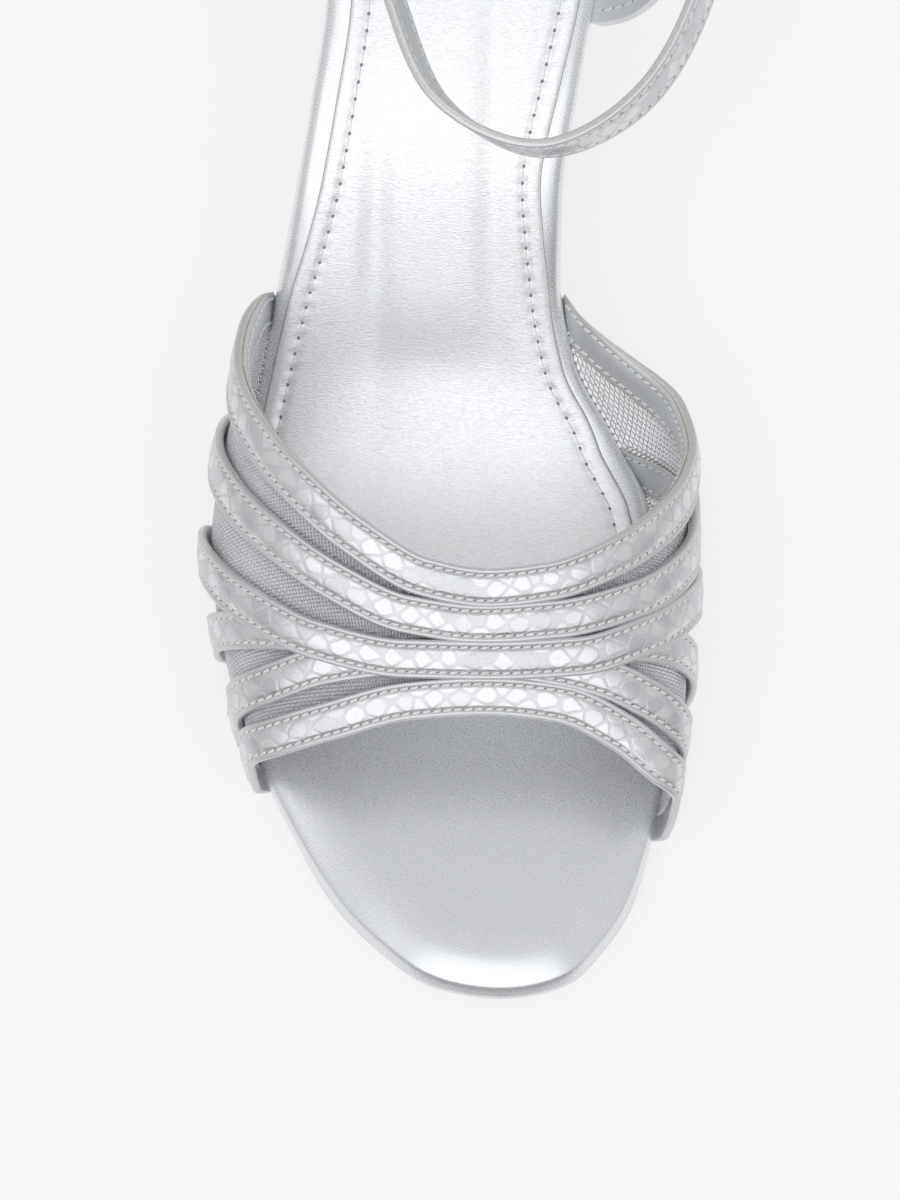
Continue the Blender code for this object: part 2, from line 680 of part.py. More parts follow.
def make_ankle_strap(material):
    """Strap from the buckle round the counter's top and the ankle, back through the buckle."""
    start = WIRE_RADIUS + GAP
    stop = ANKLE_GIRTH + TONGUE_LENGTH
    run = np.linspace(start, stop, round((stop - start) / ANKLE_STEP))
    run = np.sort(np.concatenate([run, [stop - TONGUE_TAPER, stop - TONGUE_TAPER / 3]]))
    centre, _, outward, upward = ankle_frames(run)
    centre = centre + outward * ankle_lift(run)[:, None]
    taper = np.clip((stop - run) / TONGUE_TAPER, 0, 1)
    width = ANKLE_WIDTH / 2 * (TONGUE_TIP + (1 - TONGUE_TIP) * np.sqrt(1 - (1 - taper) ** 2))
    rings = []
    for across, layer in zip(STRAP_SECTION["across"], STRAP_SECTION["layer"]):
        shift = upward * (across * width)[:, None] + outward * ((layer - 0.5) * ANKLE_THICKNESS)
        rings.append(centre + shift)
    strap = loft("ankle_strap", np.stack(rings, 1), material)
    combine(strap, make_slot(material), "DIFFERENCE")
    return strap


def buckle_frame_axes():
    """Hinge bar's centre, direction towards the far bar, outward normal and upward side of the buckle."""
    centre, along, outward, upward = (v[0] for v in ankle_frames(np.array([0.0])))
    lift = ANKLE_THICKNESS / 2 + 2 * GAP + WIRE_RADIUS
    far_centre, _, far_outward, _ = (v[0] for v in ankle_frames(np.array([ANKLE_GIRTH - FRAME_LENGTH])))
    reach = unit(far_centre + far_outward * lift - centre)
    side = unit(upward - reach * (upward @ reach))
    return centre, reach, np.cross(reach, side), side


def make_slot(material):
    """Cutter for the tongue's slot, through which the prong passes."""
    centre, reach, outward, side = buckle_frame_axes()
    middle = centre + reach * SLOT_BACK
    rings = []
    for layer in SLOT_LAYERS:
        ring = []
        for turn in circle(SLOT_SIDES):
            long = (SLOT_LENGTH - SLOT_WIDTH) / 2 * np.sign(round(math.cos(turn), 6))
            ring.append(
                middle
                + outward * layer
                + reach * (long + SLOT_WIDTH / 2 * math.cos(turn))
                + side * (SLOT_WIDTH / 2 * math.sin(turn))
            )
        rings.append(ring)
    return loft("tongue_slot", rings, material)


def make_buckle_frame(material):
    """Rectangular wire ring with round corners."""
    centre, reach, outward, side = buckle_frame_axes()
    corners = ((1, 1, 0), (0, 1, 90), (0, -1, 180), (1, -1, 270))
    path = []
    for far, up, first in corners:
        for angle in np.radians(np.array((0, 45, 90)) + first):
            x = (FRAME_LENGTH - FRAME_CORNER if far else FRAME_CORNER) + FRAME_CORNER * math.cos(angle)
            y = up * (FRAME_WIDTH / 2 - FRAME_CORNER) + FRAME_CORNER * math.sin(angle)
            path.append((x, y))
    path = np.array(path)
    tangent = unit(np.roll(path, -1, axis=0) - np.roll(path, 1, axis=0))
    rings = []
    for (x, y), (tx, ty) in zip(path, tangent):
        across = reach * ty - side * tx
        ring = []
        for turn in circle(WIRE_SIDES):
            offset = across * math.cos(turn) + outward * math.sin(turn)
            ring.append(centre + reach * x + side * y + offset * WIRE_RADIUS)
        rings.append(ring)
    return hoop("buckle_frame", rings, material)


def make_buckle_prong(material):
    """Pin from the hinge bar through the tongue to the top of the far bar."""
    centre, reach, outward, side = buckle_frame_axes()
    low = centre + reach * (WIRE_RADIUS + GAP + PRONG_RADIUS) - outward * PRONG_DROP
    high = centre + reach * FRAME_LENGTH + outward * (WIRE_RADIUS + PRONG_LIFT + PRONG_RADIUS)
    run = unit(high - low)
    up = unit(outward - run * (outward @ run))
    tip = high + run * PRONG_OVERHANG
    rings = []
    for place, share in ((low, PRONG_ROOT), (low + run, 1.0), (high, 1.0), (tip, PRONG_POINT)):
        radius = PRONG_RADIUS * share
        rings.append([place + (side * math.cos(t) + up * math.sin(t)) * radius for t in circle(WIRE_SIDES)])
    return loft("buckle_prong", rings, material)


def make_strap_keeper(material):
    """Loop that holds the tongue on the strap behind the buckle."""
    run = np.array([KEEPER_AT - KEEPER_LENGTH / 2, KEEPER_AT + KEEPER_LENGTH / 2])
    centre, _, outward, upward = ankle_frames(run)
    under = -ANKLE_THICKNESS / 2 - GAP
    over = TONGUE_LIFT + ANKLE_THICKNESS / 2 + GAP
    half = ANKLE_WIDTH / 2 + GAP
    rings = []
    for end, grow in ((0, 0.0), (0, KEEPER_WALL), (1, KEEPER_WALL), (1, 0.0)):
        wide, low, high = half + grow, under - grow, over + grow
        corners = ((-wide, low), (wide, low), (wide, high), (-wide, high))
        rings.append([centre[end] + upward[end] * a + outward[end] * b for a, b in corners])
    return hoop("strap_keeper", rings, material)


def heel_edge(count):
    """Outline round the heel seat from the lateral wing to the medial wing, with its outward direction."""
    chain = outline_chain(TOE_TIP, LENGTH, 4 * STATIONS)
    loop, left, right = outline_loop(chain)
    outward = loop - inset_loop(loop, 1.0)
    lateral = [i for i in left if loop[i, 0] >= COUNTER_LATERAL]
    medial = [i for i in right[::-1] if loop[i, 0] >= COUNTER_MEDIAL]
    order = lateral + [i for i in medial if i not in lateral]
    edge, away = loop[order], outward[order]
    run = np.concatenate([[0], np.cumsum(np.linalg.norm(np.diff(edge, axis=0), axis=1))])
    at = np.linspace(0, run[-1], count)
    pick = [np.interp(at, run, column) for column in (*edge.T, *away.T)]
    return pick[0], pick[1], unit(np.stack([pick[3], pick[2]], -1))


def make_heel_counter(material):
    """Back quarter: a wall from the heel seat's edge up to the ankle strap, open in front."""
    along, across, away = heel_edge(COUNTER_COLUMNS)
    share = np.linspace(0, 1, COUNTER_COLUMNS)
    level = np.column_stack([away, np.zeros(COUNTER_COLUMNS)])
    foot = bed_points(along, across, COUNTER_FOOT) + level * (LAST_REST + COUNTER_WALL)
    run = np.linspace(ankle_run("lateral_wing"), ankle_run("medial_wing"), COUNTER_COLUMNS)
    centre, _, outward, upward = ankle_frames(run)
    seat = centre - outward * (ANKLE_THICKNESS / 2 + GAP)
    brim = seat - upward * COUNTER_MARGIN
    flare = {name: flow(COUNTER_FLARE["share"], COUNTER_FLARE[name], share) for name in COUNTER_FLARE}
    leave = level * flare["outward"][:, None]
    leave = leave + np.column_stack([np.zeros(COUNTER_COLUMNS), -flare["forward"], flare["rise"]])
    arrive = upward * COUNTER_TOP_PULL
    rows = []
    for t in np.linspace(0, 1, COUNTER_ROWS):
        start = (1 + 2 * t) * (1 - t) ** 2 * foot + t * (1 - t) ** 2 * leave
        end = t * t * (3 - 2 * t) * brim - t * t * (1 - t) * arrive
        rows.append(start + end)
    rows.append(seat)
    rows.append(seat + upward * COUNTER_MARGIN)
    outer = np.stack(rows, 1)
    normal = unit(np.cross(np.gradient(outer, axis=1), np.gradient(outer, axis=0)))
    inner = outer - normal * COUNTER_WALL
    rings = np.concatenate([outer, inner[:, ::-1]], 1)
    return solid("heel_counter", rings.reshape(-1, 3), wall_faces(COUNTER_COLUMNS, len(rows)), material)


def heel_outline():
    """Heel seat outline as a loop, with each point's place in a box of one by one."""
    loop, left, right = outline_loop(outline_chain(TOE_TIP, LENGTH, 2 * STATIONS))
    inner = inset_loop(loop, HEEL_INSET)
    turn = np.linspace(0, math.pi / 2, HEEL_STATIONS)
    stations = HEEL_START + (HEEL_END - HEEL_START) * np.sin(turn)
    sides = [np.interp(stations, inner[index, 0], inner[index, 1]) for index in (left, right)]
    return outline_loop((stations, *sides))


def make_heel(material):
    """Covered heel that narrows from the heel seat to the top piece."""
    loop, left, right = heel_outline()
    along, across = loop.T
    top = bed_points(along, across, INSOLE_THICKNESS + GAP)
    bottom = top_piece_ring(loop, 0.0, TOP_PIECE_HEIGHT + GAP)
    points = []
    for level in HEEL_LEVELS:
        narrow = 1 - (1 - level) ** HEEL_CURVE
        ring = top + (bottom - top) * narrow
        ring[:, 2] = top[:, 2] + (bottom[:, 2] - top[:, 2]) * level
        points.append(ring)
    return stack("heel", points, left, right, material)


def top_piece_ring(loop, inset, height):
    """The heel's outline shrunk to the top piece at a height over the floor."""
    along, across = loop.T
    reach = (along - along.min()) / (along.max() - along.min())
    spread = (across - (across.max() + across.min()) / 2) / (across.max() - across.min())
    x = TOP_PIECE_CENTRE + spread * (TOP_PIECE_WIDTH - 2 * inset)
    y = TOP_PIECE_FRONT + inset + reach * (TOP_PIECE_LENGTH - 2 * inset)
    return np.column_stack([x, y, np.full(len(loop), height)])


def make_heel_top_piece(material):
    """Wearing piece under the heel, flat on the floor."""
    loop, left, right = heel_outline()
    levels = ((TOP_PIECE_EDGE, 0.0), (0.0, TOP_PIECE_EDGE), (0.0, TOP_PIECE_HEIGHT))
    points = [top_piece_ring(loop, inset, height) for inset, height in levels]
    return stack("heel_top_piece", points, left, right, material)


def main():
    """Clears the scene and builds every piece."""
    for old in list(bpy.data.objects):
        bpy.data.objects.remove(old, do_unlink=True)
    foil = (0.62, 0.63, 0.65)
    make_outsole(finish("outsole_finish", (0.66, 0.62, 0.55), 0.6, 0.0))
    make_insole(finish("insole_foil", foil, 0.3, 0.9))
    make_sock(finish("sock_foil", (0.70, 0.71, 0.73), 0.35, 0.9))
    make_vamp_mesh(finish("vamp_weave", (0.66, 0.67, 0.68), 0.5, 0.6))
    make_vamp_straps(finish("strap_foil", foil, 0.35, 0.9))
    make_heel_counter(finish("counter_foil", foil, 0.35, 0.9))
    make_ankle_strap(finish("ankle_foil", foil, 0.35, 0.9))
    make_buckle_frame(finish("buckle_metal", (0.72, 0.72, 0.72), 0.15, 1.0))
    make_buckle_prong(finish("prong_metal", (0.72, 0.72, 0.72), 0.15, 1.0))
    make_strap_keeper(finish("keeper_foil", foil, 0.35, 0.9))
    make_heel(finish("heel_cover", foil, 0.35, 0.9))
    make_heel_top_piece(finish("top_piece_rubber", (0.05, 0.05, 0.05), 0.7, 0.0))


main()
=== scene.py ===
"""Looks of the right-foot strappy sandal: silver straps, woven mesh, stitched sock, soft studio light.

Sizes are in millimetres and become metres where a mesh is made. The toe points to -Y and the medial
side is +X. In the tables "back" is the distance behind the toe tip, "along" is that distance on the
curved footbed, and a share of the girth runs from 0 at the lateral edge to 1 at the medial edge.
"""

import math

import bmesh
import bpy
import numpy as np
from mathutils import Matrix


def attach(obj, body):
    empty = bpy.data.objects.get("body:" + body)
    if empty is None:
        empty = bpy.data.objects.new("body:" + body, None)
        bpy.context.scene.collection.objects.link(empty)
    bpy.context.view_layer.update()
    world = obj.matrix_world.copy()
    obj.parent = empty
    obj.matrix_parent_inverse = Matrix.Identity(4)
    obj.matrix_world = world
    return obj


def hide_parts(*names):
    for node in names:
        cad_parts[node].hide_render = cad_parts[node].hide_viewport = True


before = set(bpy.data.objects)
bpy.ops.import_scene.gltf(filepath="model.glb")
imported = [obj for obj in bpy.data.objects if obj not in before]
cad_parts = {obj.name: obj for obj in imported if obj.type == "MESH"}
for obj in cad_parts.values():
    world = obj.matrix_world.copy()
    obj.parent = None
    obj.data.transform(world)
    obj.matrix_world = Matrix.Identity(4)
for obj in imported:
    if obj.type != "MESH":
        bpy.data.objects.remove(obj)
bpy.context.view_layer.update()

MM = 0.001


def table(columns, *rows):
    """Named columns of a small design table; the first column is its key."""
    return dict(zip(columns.split(), np.array(rows, float).T))


def route(*rows):
    """Centre line of a strap on the last: share of the girth and distance behind the toe tip."""
    return table("share back", *rows)


# Sole, as in the solids
LENGTH = 246.0
TOE_TIP = 1.0
TREAD_BACK = 63.0
GAP = 0.3
OUTSOLE_THICKNESS = 2.5
INSOLE_THICKNESS = 6.0
INSOLE_BELT = 3.6
FOOTBED_HEIGHT = OUTSOLE_THICKNESS + GAP + INSOLE_THICKNESS
OUTSOLE_INSET = 2.0
OUTSOLE_END = 197.0
BED_STEP = 0.25
WELD = 0.0005
TINY = 1e-9
SOLE_STATIONS = 280

PITCH = table(
    "along slope",
    (0, -13), (14, -9), (30, -4), (46, 0), (80, 0), (94, 9), (108, 28), (120, 42),
    (134, 47), (148, 42), (162, 30), (178, 20), (200, 15), (224, 12), (LENGTH, 10),
)
OUTLINE = table(
    "along lateral medial",
    (TOE_TIP, 9.0, 9.0), (4.1, -5.0, 21.4), (9, -11.5, 26.2), (17.8, -20.0, 32.0), (30.5, -27.8, 36.0),
    (46, -34.8, 38.5), (62, -39.2, 39.6), (76, -40.8, 39.2), (92, -39.4, 36.4), (104, -36.6, 30.0),
    (118, -33.6, 22.4), (134, -30.6, 19.9), (150, -27.6, 20.1), (168, -24.5, 22.6),
    (185, -22.0, 25.5), (200, -21.4, 27.6), (215, -21.6, 28.3), (230, -18.0, 24.6),
    (240, -10.5, 17.4), (LENGTH, 3.5, 3.5),
)
# Rings from underside to top: inset from the outline and depth under the footbed, behind the toe
# and round it, where the foil rolls down to a crisp edge over an upright wall
INSOLE_RINGS = table(
    "inset depth toe_inset toe_depth",
    (3.2, INSOLE_THICKNESS, 1.2, INSOLE_THICKNESS), (1.9, 5.85, 0.55, 5.95), (0.95, 5.4, 0.15, 5.7),
    (0.35, 4.7, 0.0, 5.35), (0.05, 4.0, 0.2, 4.75), (0.0, 3.3, 0.45, 4.0), (0.05, 2.5, 0.75, 3.2),
    (0.2, 1.8, 0.95, 2.85), (0.5, 1.2, 1.15, 2.62), (1.0, 0.75, 1.5, 2.4), (1.9, 0.4, 2.1, 2.05),
    (3.2, 0.18, 3.1, 1.55), (5.2, 0.05, 4.6, 0.93), (7.6, 0.0, 6.6, 0.36), (10.5, 0.0, 10.5, 0.0),
)
INSOLE_TOP_RING = 5
TOE_WALL_ENDS = (16.0, 42.0)
OUTSOLE_RINGS = table(
    "inset depth",
    (1.0, FOOTBED_HEIGHT), (0.5, 8.72), (0.15, 8.4), (0.0, 7.9), (0.0, 6.9), (0.15, INSOLE_THICKNESS + GAP),
)
# Sock: its front, the distance of its edge from the outline, thickness, stitch line and cushioning
SOCK_START = 66.0
SOCK_INSETS = table(
    "along lateral medial",
    (SOCK_START, 3.0, 4.5), (92, 2.2, 4.1), (102, 1.7, 3.6), (111, 1.6, 2.2), (130, 2.2, 2.1),
    (142, 3.4, 3.2), (154, 4.2, 4.1), (186, 4.5, 2.5), (204, 4.5, 3.4), (LENGTH, 4.5, 4.5),
)
SOCK_ROUND = 14.0
SOCK_CROWDING = 1.3
SOCK_STATIONS = 300
SOCK_COLUMNS = 91
SOCK_EDGE = 0.1
SOCK_RISE = 0.58
SOCK_ROLL = 0.2
# Columns at each side of the sock that take the cut edge finish, darkened as a painted shadow line
SOCK_CUT_SHADOW_COLUMNS = 4
SOCK_STITCH_INSET = 3.3
SOCK_STITCH_TROUGH = 0.26
SOCK_STITCH_SPREAD = 0.8
SOCK_PUCKER = 0.5
SOCK_PUFF = 0.08
SOCK_SEAM_ROOM = 14.0
SOCK_CUSHION = 0.4
SOCK_CUSHION_REACH = 4.5
# Soft troughs and ridges of the sock: place, half length along, half width across, rise
SOCK_FOLDS = table(
    "along across reach_along reach_across rise",
    (118, -2, 7, 16, -0.55),
    (150, -13.5, 34, 3.2, -0.95),
    (158, 8, 40, 3.2, -0.85),
    (132, 0, 8, 14, 0.25),
)

# Forefoot of the last, as in the solids
LAST = table(
    "back lateral medial crown",
    (26, 27.6, 36.6, 14.0), (40, 33.4, 39.2, 21.0), (54, 37.5, 41.2, 28.5), (68, 41.0, 41.8, 35.5),
    (80, 42.0, 42.0, 41.5), (92, 40.8, 42.0, 47.0), (104, 37.8, 39.5, 52.0), (114, 35.2, 33.6, 56.0),
    (122, 33.0, 27.5, 58.0), (130, 31.4, 23.5, 60.0),
)
BELT_HEIGHT = 11.0
CROWN_OFFSET = 4.0
CROWN_POWER = 2.25
LAST_REST = 0.35
LAST_START = 18
LAST_END = 135
FLANK_POINTS = 12
CROWN_POINTS = 40
GIRTH_POINTS = 161
SLOPE_BACK = 1.0
SLOPE_SHARE = 0.008
SHIFT_ROUNDS = 3
SHEET_RIM = 1.001

# Strap centre lines, as in the solids
ROUTES = {
    "collar": route(
        (0, 124), (0.06, 120.5), (0.12, 113.5), (0.18, 104.5), (0.24, 95), (0.30, 84.5), (0.38, 73),
        (0.46, 66.2), (0.54, 64.4), (0.62, 65.7), (0.70, 70.5), (0.78, 80), (0.85, 93), (0.91, 106),
        (0.96, 116), (1, 122.6),
    ),
    "second": route(
        (0, 104), (0.06, 102), (0.12, 97), (0.19, 87.5), (0.26, 76.5), (0.34, 66.8), (0.43, 60.5),
        (0.53, 58.8), (0.63, 59.8), (0.74, 64.5), (0.82, 72.8), (0.89, 83.5), (0.95, 93), (1, 99),
    ),
    "third": route(
        (0, 85), (0.07, 81.5), (0.14, 75), (0.21, 66), (0.30, 57.5), (0.42, 53.6), (0.54, 53.2),
        (0.66, 54.2), (0.76, 59), (0.84, 66.5), (0.92, 74), (1, 79),
    ),
    "toe": route(
        (0, 42.5), (0.08, 42.2), (0.17, 42.2), (0.28, 44), (0.42, 47), (0.53, 47.6), (0.64, 46.7),
        (0.74, 42.6), (0.83, 37), (0.92, 34), (1, 33.5),
    ),
    "front_lateral": route((0, 50.8), (0.1, 50.2), (0.2, 50.9), (0.3, 53), (0.4, 54)),
    "front_medial": route(
        (0.56, 53.4), (0.62, 52.6), (0.70, 51), (0.78, 48), (0.86, 44.4), (0.93, 42.6), (1, 42)
    ),
    "mid_lateral": route((0, 67), (0.1, 64), (0.2, 60.8), (0.28, 58.8)),
    "mid_medial": route((0.72, 57), (0.80, 57.6), (0.88, 56.6), (0.94, 56.2), (1, 57)),
}
# Distance of each strap's inner and outer face from the last
LAYERS = {
    "collar": (1.2, 2.85),
    "second": (1.1, 2.7),
    "third": (1.35, 3.0),
    "toe": (1.05, 2.5),
    "front_lateral": (1.0, 2.35),
    "front_medial": (1.0, 2.35),
    "mid_lateral": (1.15, 2.45),
    "mid_medial": (1.15, 2.45),
}
STRAP_WIDTH = 6.8
STRAP_STEP = 0.8
# One half of a strap's section with a rolled edge and a stitch groove: across in half widths,
# layer as a share of the thickness from inside
STRAP_HALF = table(
    "across layer",
    (0, 0), (0.45, 0), (0.9, 0.02), (0.97, 0.14), (1, 0.38), (1, 0.62), (0.965, 0.86), (0.9, 0.99),
    (0.82, 1.0), (0.74, 0.93), (0.68, 0.8), (0.645, 0.76), (0.6, 0.82), (0.54, 0.95), (0.42, 1.03),
    (0.22, 1.08), (0, 1.1),
)
STRAP_STITCH_ACROSS = 0.645
STRAP_STITCH_LAYER = 0.8
STRAP_LINING_LAYER = 0.1
STRAP_RAW_LAYER = 0.3
# Share of its height that a strap loses at the rear corner of its ends
END_DROP = {"collar": 0.85}
# Lining of the straps inside the mesh: section round a thin strip, across in half widths,
# height over the last
LINED_STRAPS = ("collar", "second", "third")
LINING_SECTION = table(
    "across height",
    (-0.9, -0.1), (0.0, -0.1), (0.88, -0.1), (0.95, -0.2), (0.97, -0.33), (0.95, -0.48), (0.88, -0.55),
    (0.69, -0.53), (0.645, -0.46), (0.6, -0.53), (0.0, -0.55), (-0.6, -0.53), (-0.645, -0.46),
    (-0.69, -0.53), (-0.88, -0.55), (-0.97, -0.48), (-1.0, -0.33), (-0.98, -0.2),
)
LINING_STITCH_HEIGHT = -0.5
LINING_EDGE = 0.92
COLLAR_LINING_RISE = 1.6
END_STATIONS = 25
EDGE_NEAR = 0.0005
TUCK_ANGLE = 64.0
TUCK_STEPS = 8
TUCK_RADIUS = 2.6
TUCK_SKIVE = 0.75

# Weave of the vamp mesh
WEAVE_SHARES = 240
WEAVE_PITCH = 0.62
WEFT_WIDTH = 0.46
WARP_WIDTH = 0.3
WEAVE_CROWN = 0.17
WEAVE_MIDDLE = 0.24
WEAVE_WAVE = 0.17
WEAVE_SEAT = 0.75
WEAVE_SEAT_SHARE = 0.03

# Ankle strap, as in the solids: across, back and height of its centre line, and its lean
ANKLE_ROWS = {
    "hinge": (-15.2, 164.0, 109.5, -24.0),
    "lateral_side": (-18.8, 177.5, 112.9, -16.0),
    "lateral_wing": (-21.5, 190.0, 116.0, -6.0),
    "lateral_back": (-14.0, 219.0, 122.0, -4.0),
    "back": (8.0, 230.5, 124.5, -4.0),
    "medial_back": (31.0, 219.0, 122.5, 0.0),
    "medial_wing": (46.5, 178.0, 115.5, 6.0),
    "medial_side": (43.5, 151.0, 109.0, 22.0),
    "medial_front": (33.0, 130.0, 103.0, 16.0),
    "front": (15.5, 121.0, 100.0, -8.0),
    "lateral_front": (-1.5, 129.0, 101.5, -26.0),
    "lateral_leg": (-9.8, 147.5, 105.4, -28.0),
}
ANKLE_WIDTH = 7.0
ANKLE_THICKNESS = 1.6
ANKLE_STEP = 0.9
SPLINE_STEPS = 40
TANGENT_REACH = 2.0
TONGUE_LENGTH = 32.0
TONGUE_TAPER = 5.0
TONGUE_TIP = 0.4
TONGUE_STATIONS = 16
TONGUE_LIFT = 2.1
# One half of the ankle strap's section, with flat faces, stitch grooves and a raw edge
ANKLE_HALF = table(
    "across layer",
    (0, -0.03), (0.5, 0), (0.6, 0.06), (0.645, 0.12), (0.69, 0.05), (0.86, 0), (0.94, 0.05), (0.985, 0.18),
    (1, 0.32), (1, 0.5), (1, 0.68), (0.985, 0.82), (0.94, 0.95), (0.86, 1.0), (0.69, 0.95), (0.645, 0.88),
    (0.6, 0.94), (0.5, 1.0), (0, 1.03),
)
ANKLE_STITCH_LAYERS = ((0.9, 1.0), (0.1, -1.0))
ANKLE_RAW_LAYERS = (0.3, 0.5)

# Buckle and keeper
WIRE_RADIUS = 0.85
FRAME_LENGTH = 11.0
FRAME_WIDTH = 10.6
FRAME_CORNER = 1.8
FRAME_CORNER_STEPS = 8
WIRE_SIDES = 16
PRONG_RADIUS = 0.6
PRONG_DROP = 0.2
PRONG_LIFT = 0.4
PRONG_OVERHANG = 1.6
# Prong from its root to its tip: share of its run and of its radius
PRONG_RINGS = table(
    "run radius",
    (0, 0.5), (0.02, 0.75), (0.06, 0.95), (0.3, 1), (0.85, 1), (0.94, 0.85), (0.985, 0.6), (1, 0.3),
)
SLOT_LENGTH = 6.4
SLOT_WIDTH = 2.0
SLOT_BACK = 4.8
SLOT_SIDES = 32
SLOT_DIGITS = 6
SLOT_LAYERS = (-4.0, 6.0)
KEEPER_AT = 15.0
KEEPER_LENGTH = 5.0
KEEPER_WALL = 1.2
KEEPER_ROUND = 0.45
KEEPER_INNER_ROUND = 0.2
KEEPER_CORNER_STEPS = 6

# Heel counter, as in the solids
COUNTER_LATERAL = 192.0
COUNTER_MEDIAL = 181.0
COUNTER_WALL = 1.8
COUNTER_FOOT = 4.4
COUNTER_COLUMNS = 150
COUNTER_ROWS = 44
COUNTER_BRIM_ROWS = 8
COUNTER_FLARE = table(
    "share outward rise",
    (0, 14, 42), (0.25, 16, 46), (0.5, 12, 46), (0.75, 22, 40), (1, 56, 25),
)
COUNTER_TOP_PULL = 34.0
COUNTER_MARGIN = 4.2
COUNTER_STITCH_INSET = 2.2
COUNTER_TURN_IN = 1.4
COUNTER_TURN_ROWS = 6

# Heel, as in the solids
HEEL_START = OUTSOLE_END + GAP
HEEL_END = 244.0
HEEL_INSET = 1.6
HEEL_STATIONS = 60
HEEL_LEVELS = 40
HEEL_CURVE = 2.6
TOP_PIECE_FRONT = 196.0
TOP_PIECE_LENGTH = 25.0
TOP_PIECE_WIDTH = 24.0
TOP_PIECE_CENTRE = 3.5
TOP_PIECE_HEIGHT = 5.0
TOP_PIECE_LEVELS = ((0.5, 0.0), (0.15, 0.15), (0.0, 0.5), (0.0, 4.6), (0.25, TOP_PIECE_HEIGHT))

# Stitches: pitch, length, width, height and twist of the thread
STRAP_STITCH = {"pitch": 1.8, "length": 1.55, "width": 0.46, "height": 0.46, "twist": 10.0}
ANKLE_STITCH = {"pitch": 2.1, "length": 1.75, "width": 0.44, "height": 0.4, "twist": 7.0}
SOCK_STITCH = {"pitch": 3.05, "length": 2.4, "width": 0.26, "height": 0.24, "twist": 4.0}
# Painted shade of the needle holes and the stitches' dark sides, as flat dark marks: length, width, height
# and twist
STRAP_HOLE_SHADE = (0.62, 0.3, 0.1, 24.0)
SOCK_HOLE_SHADE = (1.15, 0.95, 0.28, 0.0)
# Lift of the sock's stitches and of the painted shade of its needle holes
SOCK_LIFTS = (0.24, 0.03)
SEAM_END_ROOM = 0.25
STITCH_SIDES = 6
STITCH_RINGS = table("run radius", (-1, 0.2), (-0.78, 0.72), (-0.3, 1), (0.3, 1), (0.78, 0.72), (1, 0.2))

# Scale print: length and width of a scale, and the band it fills as shares of that width
SCALE_SIZE = (4.8, 4.5)
SCALE_BAND = (0.4, 0.48)
SCALE_CORE = (0.61, 0.47)
SCALE_SPLIT = (0.04, 0.14)
SCALE_SHUFFLE = 0.55
SCALE_GLAZE = (0.0, 0.6)
# Strap foil: colours of the ground, dim and bright scales; grain, specks, gloss, and bumps of scales,
# grain and clouds by depth and strength
STRAP_TONES = ((0.72, 0.725, 0.735), (0.66, 0.665, 0.68), (0.83, 0.835, 0.845))
STRAP_ROUGHNESS = 0.36
STRAP_METAL = 0.65
STRAP_GRAIN = (4200.0, 3.0)
STRAP_CLOUD = 220.0
STRAP_SPECKS = (0.35, 0.7)
STRAP_SPECK_TONE = 0.84
STRAP_GLOSS = (0.34, 0.2)
STRAP_GLOSS_PLAY = 0.08
STRAP_BUMPS = ((0.05, 0.6), (0.04, 0.6), (0.25, 0.4))
# Sock foil: wavy grain across the foot and a fine one
SOCK_COLOUR = (0.985, 0.99, 1.0)
SOCK_ROUGHNESS = 0.38
SOCK_METAL = 0.6
SOCK_WAVE = (0.86, 0.27)
SOCK_WAVE_BEND = 0.9
SOCK_WAVE_SPAN = (0.24, 0.66)
SOCK_WAVE_TONE = 0.86
SOCK_WAVE_BUMP = (0.12, 0.7)
SOCK_FINE = 3600.0
SOCK_FINE_BUMP = (0.012, 0.4)
SOCK_GLOSS = (0.32, 0.42)
# Buckle wire: scratches by repeats a metre, detail and bend
WIRE_COLOUR = (0.80, 0.80, 0.81)
WIRE_ROUGHNESS = 0.12
WIRE_SCRATCH = (4000.0, 4.0, 1.0)
WIRE_SPAN = (0.3, 0.7)
WIRE_GLOSS = (0.08, 0.2)
WIRE_BUMP = (0.01, 0.3)
# Grains: repeats a metre, detail, span of the noise that shows, tones of the colour at both its ends,
# depth and strength of its bumps, play of the roughness
GLOSS_SPAN = (0.2, 0.8)
LEATHER = {
    "size": 1500.0, "detail": 4.0, "span": (0.35, 0.65), "tones": (0.84, 1.0), "bump": (0.05, 0.5),
    "play": 0.1,
}
FOIL = {
    "size": 5200.0, "detail": 2.0, "span": (0.35, 0.68), "tones": (0.95, 1.06), "bump": (0.009, 0.7),
    "play": 0.06, "cloud": (120.0, 0.2, 0.2),
}
THREAD = {
    "size": 5000.0, "detail": 1.0, "span": (0.3, 0.6), "tones": (0.7, 1.0), "bump": (0.05, 0.6),
    "sheen": 0.3,
}
YARN = {"size": 6000.0, "detail": 1.0, "span": (0.3, 0.7), "tones": (0.8, 1.0), "bump": (0.03, 0.5)}
